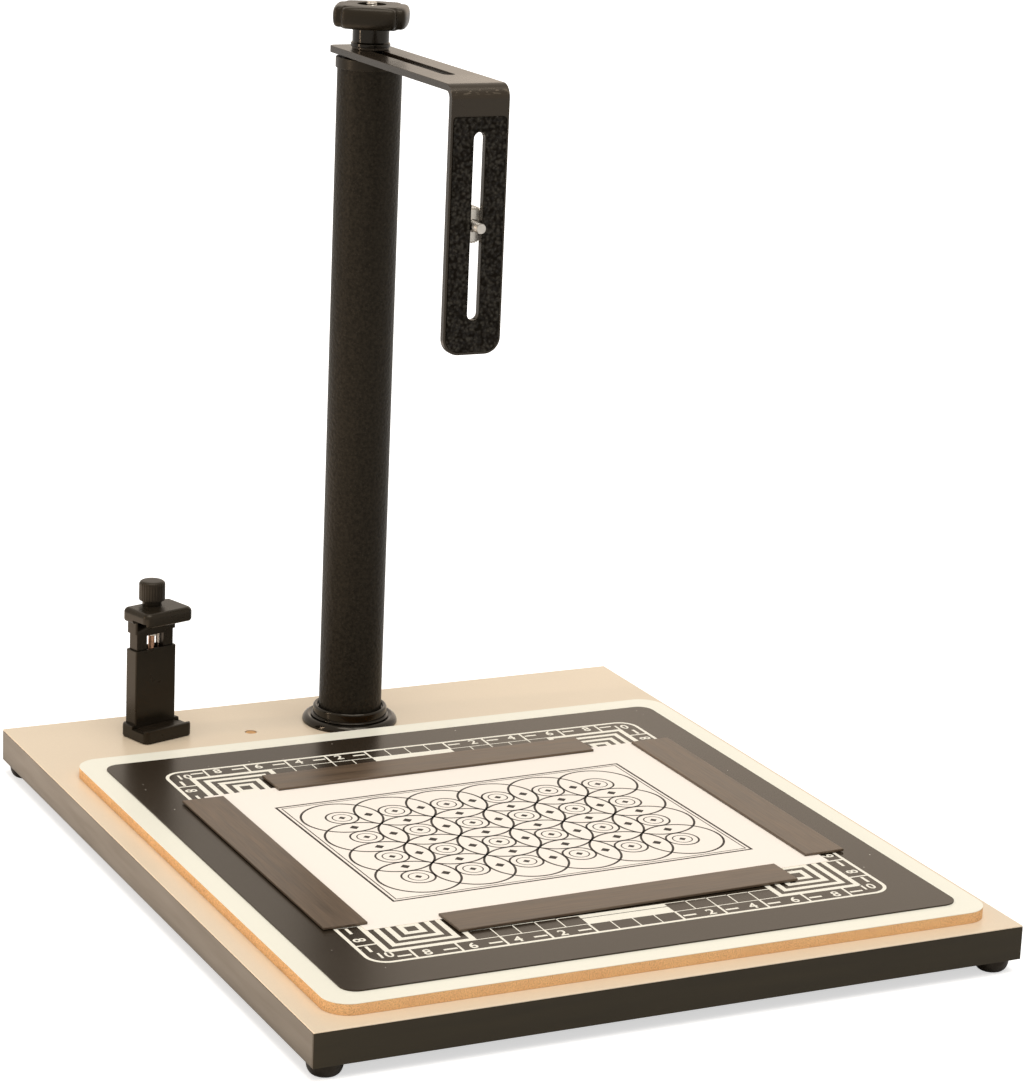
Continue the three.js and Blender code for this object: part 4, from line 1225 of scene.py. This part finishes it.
class COPYSTAND_OT_board(bpy.types.Operator):
    """Model the magnetic board, its mat with the printed scale, and the four bars"""

    bl_idname = "copy_stand.board"
    bl_label = "Magnetic board"

    # The ruler along the front, in units from the scale's middle
    numbered = (2, 4, 6, 8, 10)
    last = numbered[-1]
    end, row, inside = -12, -11, -10

    def execute(self, context):
        sizes = context.scene.copy_stand_board
        for name, node, corner, edge, slot in (
            ("board_panel", "board_core", sizes.board_corner, sizes.edge, "board_fibre"),
            ("board_skin", "board_face", sizes.board_corner, sizes.skin_edge, "pale_face"),
            ("printed_mat", "board_mat", sizes.mat_corner, sizes.edge, "mat_black"),
        ):
            panel = round_edges(block(name, *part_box(node)), corner, 24, along("z"))
            fit(soften(panel, edge), "board", slot, node)
        self.print_scale(sizes)
        self.make_bars()
        return {"FINISHED"}

    def make_bars(self):
        for side in ("left", "right", "front", "back"):
            node = f"magnet_bar_{side}"
            bar = shade(merged_copy(node, f"magnetic_strip_{side}"))
            look = "magnet_rubber_deep" if side in ("left", "right") else "magnet_rubber"
            fit(bar, f"bar_{side}", "magnet_rubber", node, look=look)

    def print_scale(self, sizes):
        """A framed half-inch ruler on each side, its numbers, and nested corner squares."""
        unit = sizes.unit
        top = heights("board_mat")[1] + sizes.ink_depth / 2
        origin = Vector((sizes.scale_x, sizes.scale_y, top))
        sheet = FlatSheet("scale_lines", origin)
        sheet.frame(0, 0, 12 * unit, 12 * unit, sizes.outer_line, corner=0.9 * unit)
        for side in range(4):
            self.print_side(sheet, sizes, side * QUARTER)
        for x in (-9, 9):
            for y in (-9, 9):
                for half in (0.5, 1.0, 1.5, 2.0):
                    sheet.frame(x * unit, y * unit, half * unit, half * unit, sizes.corner_line)
        piece = sheet.finish(sizes.ink_depth)
        numbers = [
            self.print_number(sizes, origin, side, step, sign)
            for side in range(4)
            for step in self.numbered
            for sign in (-1, 1)
            if step < self.last or side % 2 == 0
        ]
        take(piece)
        for number in numbers:
            number.select_set(True)
        bpy.ops.object.join()
        fit(piece, "board", None, look="scale_print")

    def print_side(self, sheet, sizes, turn):
        """One side's ruler, drawn along the front and turned into place."""
        unit, thin = sizes.unit, sizes.thin_line
        edge, row, inside = self.end * unit + sizes.outer_line, self.row * unit, self.inside * unit
        dash_near = (self.end + self.row) / 2 * unit - sizes.dash / 2

        def line(place, width, near, far):
            sheet.bar(turn, place - width / 2, place + width / 2, near, far)

        for sign in (-1, 1):
            for step in self.numbered:
                line(sign * step * unit, sizes.cross_line, edge, row)
                line(sign * (step + 0.42) * unit, 0.6 * unit, dash_near, dash_near + sizes.dash)
            for step in (3, 4, 5, 6):
                line(sign * step * unit, thin, row + thin, inside)
            for near in (row, inside - thin):
                line(sign * 4.5 * unit, 5 * unit, near, near + thin)
        for step in (-1, 0, 1):
            line(step * unit, thin, edge, row)
        line(0, 4 * unit, row, row + 0.62 * unit)
        line(0, 4 * unit, row + 0.68 * unit, inside)

    def print_number(self, sizes, origin, side, step, sign):
        """A number outside its line; the last one stands a little nearer the middle."""
        inward = 0.28 if step == self.last else 0
        across, out = sign * (step + 1.42 - inward), inward + (self.end + self.row) / 2
        turn = side * QUARTER
        spot = Matrix.Rotation(turn, 3, "Z") @ (Vector((across, out, 0)) * sizes.unit)
        clear_selection()
        facing = turn if side % 2 else 0
        bpy.ops.object.text_add(location=origin + spot, rotation=(0, 0, facing))
        text = bpy.context.object.data
        text.body = str(step)
        text.size = sizes.numeral
        text.align_x = text.align_y = "CENTER"
        text.offset = sizes.stroke
        text.resolution_u = 4
        bpy.ops.object.convert(target="MESH")
        return thicken(settle(bpy.context.object), sizes.ink_depth)


class COPYSTAND_OT_sheet(bpy.types.Operator):
    """Lay the sample sheet with a ruled border and a lattice of compass circles"""

    bl_idname = "copy_stand.sheet"
    bl_label = "Sample sheet"

    def execute(self, context):
        sizes = context.scene.copy_stand_board
        paper = merged_copy("sample_sheet", "paper_sheet")
        fit(shade(paper), "sheet", "paper", "sample_sheet")
        top = heights("sample_sheet")[1] + sizes.ink_depth / 5
        over = Matrix.Translation(AXIS_Z * top) @ stood_on("sample_sheet", sizes.sheet_turn)
        fit(settle(self.draw(sizes), over), "sheet", None, look="drawing_ink")
        return {"FINISHED"}

    def draw(self, sizes):
        """Rings and a diamond at each crossing, and a diamond between neighbours."""
        drawing = FlatSheet("sheet_drawing", (0, 0, 0))
        pitch, thin = sizes.lattice_pitch, sizes.thin_line
        columns, rows = sizes.lattice_columns, sizes.lattice_rows
        radius = pitch / math.sqrt(2)
        wide, deep = ((n - 1) / 2 * pitch + radius + 4 * thin for n in (columns, rows))
        drawing.frame(0, 0, wide, deep, thin)
        drawing.frame(0, 0, wide + 4 * thin, deep + 4 * thin, 2 * thin)
        for x, y in self.lattice(columns, rows, pitch):
            drawing.circle(x, y, radius, 1.9 * thin, 72)
            drawing.circle(x, y, radius * 0.40, 1.6 * thin, 48)
            drawing.circle(x, y, radius * 0.24, 1.0 * thin, 40)
            drawing.dot(x, y, 3.2 * thin)
        for gaps in ((columns - 1, rows), (columns, rows - 1)):
            for x, y in self.lattice(*gaps, pitch):
                drawing.dot(x, y, 4.2 * thin)
        return drawing.finish(sizes.ink_depth)

    def lattice(self, columns, rows, pitch):
        """The places of a grid round the middle."""
        for column in range(columns):
            for row in range(rows):
                yield (column - (columns - 1) / 2) * pitch, (row - (rows - 1) / 2) * pitch


class COPYSTAND_OT_clamp(bpy.types.Operator):
    """Model the phone clamp's two mouldings, its screw, keeper ring and fluted knob"""

    bl_idname = "copy_stand.clamp"
    bl_label = "Phone clamp"

    def execute(self, context):
        sizes = context.scene.copy_stand_clamp
        radius, over = radius_of("clamp_screw"), stood_on("clamp_screw", sizes.turn)
        body = soften(merged_copy("clamp_body", "clamp_frame"), sizes.edge, 3)
        fit(body, "clamp", "clamp_plastic", "clamp_body")
        slide = merged_copy("clamp_upper_jaw", "clamp_slide")
        slab = self.make_slab(sizes, slide, radius)
        settle(slab, over @ Matrix.Translation((0, sizes.screw_back, 0)))
        fit(shade(slab), "clamp_jaw", "clamp_plastic", "clamp_upper_jaw")
        fit(soften(slide, sizes.edge, 3), "clamp_jaw", "clamp_plastic", "clamp_upper_jaw")
        pitch = sizes.screw_pitch
        screw = threaded("clamp_spindle", radius, *heights("clamp_screw"), pitch, pitch / 3, 24)
        fit(settle(screw, over), "clamp_grip", "brass", "clamp_screw")
        low, high = heights("clamp_keeper_ring")
        keeper = ring("clamp_keeper", radius_of("clamp_keeper_ring"), radius * 1.05, low, high,
                      (high - low) / 5, 48)
        fit(settle(keeper, over), "clamp_grip", "zinc_steel", "clamp_keeper_ring")
        knob = shade(self.make_knob(sizes), math.radians(40))
        fit(settle(knob, over), "clamp_grip", "moulded_black", "clamp_knob")
        return {"FINISHED"}

    def make_slab(self, sizes, jaw, bore):
        """Cuts the jaw's slab off its neck and gives a smoothly rounded one for it."""
        top = heights("clamp_upper_jaw")[1]
        half, under = sizes.jaw_width / 2, top - sizes.jaw_height
        front, back = -sizes.jaw_front, sizes.jaw_back
        begin_edit(jaw, "FACE", "SELECT")
        bpy.ops.mesh.bisect(
            plane_co=(0, 0, under), plane_no=AXIS_Z, use_fill=True, clear_outer=True
        )
        end_edit()
        slab = block("clamp_jaw_slab", (-half, front, under), (half, back, top))
        round_edges(slab, sizes.jaw_corner, 10, along("z", y=front))
        round_edges(slab, sizes.back_corner, 8, along("z", y=back))
        round_edges(slab, sizes.nose, 6, lambda start, end: min(start.z, end.z) > top - SAME)
        soften(slab, sizes.nose / 2, 4, SHARP_ANGLE, held=False)
        seat = block("jaw_seat", (-2 * half, front + sizes.jaw_lip, under - half),
                     (2 * half, -sizes.seat_back, under + sizes.jaw_lip_height))
        hole = rod("jaw_hole", bore * 1.06, under - half, top + half, facets=32)
        return carve(slab, seat, settle(hole, Matrix.Translation((0, -sizes.screw_back, 0))))

    def make_knob(self, sizes):
        low, high = heights("clamp_knob")
        neck = low + sizes.neck_height
        outer, edge, flute = sizes.knob_radius, sizes.knob_edge, sizes.flute
        knob = turned("clamp_fluted_knob", [
            (sizes.knob_neck, low),
            (sizes.knob_neck, neck),
            (outer - 2 * flute, neck),
            *arc(outer - 2 * flute, neck + 2 * flute, 2 * flute, -60, 0),
            *arc(outer - edge, high - edge, edge, 0, 82, 8),
            (outer * 0.5, high),
            (outer * 0.1, high + flute / 8),
        ], facets=sizes.flute_count * 10)

        def fluted(reach, angle, height):
            if height <= neck - SAME:
                return 1
            share = min(1.0, max(0.0, (reach - outer + edge) / edge))
            wave = 0.5 - 0.5 * math.cos(sizes.flute_count * angle)
            return 1 - flute * share * wave ** 3 / max(reach, flute)

        reshape(knob, fluted)
        return knob


class COPYSTAND_OT_stage(bpy.types.Operator):
    """Set the camera, the soft lights and the white floor"""

    bl_idname = "copy_stand.stage"
    bl_label = "Stage"

    def execute(self, context):
        stage = context.scene.copy_stand_stage
        warm, plain = stage.panel_tint, stage.ambient_tint
        context.scene.view_settings.view_transform = "Standard"
        self.add_camera(context, stage)
        self.add_world(context, stage)
        self.add_key(stage)
        for name, power, sides, place, target, tint in (
            ("side_strip", stage.side, (0.055, 1.3), (-1.9, 0.35, 0.75), (0, 0.19, 0.42), warm),
            ("back_panel", stage.back, (1.8, 1.5), (2.1, 2.6, 0.95), (0, 0, 0.1), warm),
            ("left_card", stage.card, (0.36, 1.1), (-0.387, 0.22, 0.004), (-0.387, 0.22, 1),
             stage.card_tint),
            ("front_spark", stage.spark, (0.14, 0.14), (-0.5, -1.5, 1.5), (0, 0.1, 0.2), plain),
        ):
            lamp = self.add_light(name, "AREA", place, Vector(target) - Vector(place), power, tint)
            lamp.visible_camera = False
            lamp.data.shape = "RECTANGLE"
            lamp.data.size, lamp.data.size_y = sides
        self.add_floor(stage)
        return {"FINISHED"}

    def add_camera(self, context, stage):
        """The photo's own view."""
        turn = [math.radians(angle) for angle in (74.8343, -2.4245, -25.8934)]
        bpy.ops.object.camera_add(location=(-0.80499, -1.63438, 0.68485), rotation=turn)
        camera = context.object
        camera.name = "photo_camera"
        camera.data.lens = stage.lens
        camera.data.sensor_width = 36
        camera.data.clip_start, camera.data.clip_end = 0.05, 50
        context.scene.camera = camera

    def add_world(self, context, stage):
        """White to the camera, warm white in gloss and glass, and a softer light on the stand."""
        world = bpy.data.worlds.new("studio")
        context.scene.world = world
        nodes = Nodes(world)
        camera, glossy, through = (
            nodes.node("LightPath", output=f"Is {ray} Ray")
            for ray in ("Camera", "Glossy", "Transmission")
        )
        mirrored = nodes.node("Math", {0: glossy, 1: through}, operation="MAXIMUM")
        lit = nodes.node("Background", {"Color": stage.ambient_tint, "Strength": stage.ambient})
        for rays, tint in ((mirrored, stage.mirrored_tint), (camera, (1, 1, 1))):
            backdrop = nodes.node("Background", {"Color": tint})
            lit = nodes.node("MixShader", {0: rays, 1: lit, 2: backdrop})
        nodes.node("OutputWorld", {"Surface": lit})

    def add_key(self, stage):
        """A wide, soft light from above that falls evenly on the whole stand."""
        aim = Vector((0, 0.26, -0.97))
        lamp = self.add_light("key_light", "SUN", (-1, -1, 2), aim, stage.key, stage.ambient_tint)
        lamp.data.angle = math.radians(45)

    def add_light(self, name, kind, place, aim, energy, tint):
        turn = aim.to_track_quat("-Z", "Y").to_euler()
        bpy.ops.object.light_add(type=kind, location=place, rotation=turn)
        lamp = bpy.context.object
        lamp.name = name
        lamp.data.energy = energy
        lamp.data.color = tint
        return lamp

    def add_floor(self, stage):
        """A light floor with a glow, for the camera alone, that grows away from the stand."""
        clear_selection()
        bpy.ops.mesh.primitive_plane_add(size=stage.floor_side)
        floor = named("floor")
        material = bpy.data.materials.new("white_floor")
        nodes = Nodes(material)
        place = nodes.node("TexCoord", output="Object")
        reach = nodes.node("VectorMath", {0: place}, "Value", operation="LENGTH")
        rise = reach.between(stage.floor_start, stage.floor_end)
        level = rise * (stage.floor_far - stage.floor_near) + stage.floor_near
        seen = nodes.node("LightPath", output="Is Camera Ray")
        glow = nodes.node("Emission", {"Strength": level * seen})
        diffuse = nodes.node("BsdfDiffuse", {"Color": stage.floor_shade})
        surface = nodes.node("AddShader", {0: diffuse, 1: glow})
        nodes.node("OutputMaterial", {"Surface": surface})
        floor.data.materials.append(material)


class COPYSTAND_PT_panel(bpy.types.Panel):
    """Lists the stand's operators and settings in the sidebar"""

    bl_idname = "COPYSTAND_PT_panel"
    bl_label = "Copy stand"
    bl_space_type = "VIEW_3D"
    bl_region_type = "UI"
    bl_category = "Copy stand"

    def draw(self, context):
        for operator in OPERATORS:
            self.layout.operator(operator.bl_idname)
        for name, group in SETTINGS.items():
            box = self.layout.box()
            settings = getattr(context.scene, name)
            for prop in group.__annotations__:
                box.prop(settings, prop)


SETTINGS = {
    "copy_stand_colours": FinishColours,
    "copy_stand_baseboard": BaseboardSizes,
    "copy_stand_column": ColumnSizes,
    "copy_stand_bracket": BracketSizes,
    "copy_stand_knob": KnobSizes,
    "copy_stand_board": BoardSizes,
    "copy_stand_clamp": ClampSizes,
    "copy_stand_stage": StageLight,
}
OPERATORS = (
    COPYSTAND_OT_finishes,
    COPYSTAND_OT_frame_finishes,
    COPYSTAND_OT_baseboard,
    COPYSTAND_OT_feet,
    COPYSTAND_OT_column,
    COPYSTAND_OT_bracket,
    COPYSTAND_OT_knob,
    COPYSTAND_OT_board,
    COPYSTAND_OT_sheet,
    COPYSTAND_OT_clamp,
    COPYSTAND_OT_stage,
)


def register():
    for name, group in SETTINGS.items():
        bpy.utils.register_class(group)
        setattr(bpy.types.Scene, name, PointerProperty(type=group))
    for operator in OPERATORS:
        bpy.utils.register_class(operator)
    bpy.utils.register_class(COPYSTAND_PT_panel)


def unregister():
    bpy.utils.unregister_class(COPYSTAND_PT_panel)
    for operator in reversed(OPERATORS):
        bpy.utils.unregister_class(operator)
    for name, group in SETTINGS.items():
        delattr(bpy.types.Scene, name)
        bpy.utils.unregister_class(group)


def main():
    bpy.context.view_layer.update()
    register()
    for operator in OPERATORS:
        _, name = operator.bl_idname.split(".")
        getattr(bpy.ops.copy_stand, name)()


if __name__ == "__main__":
    main()
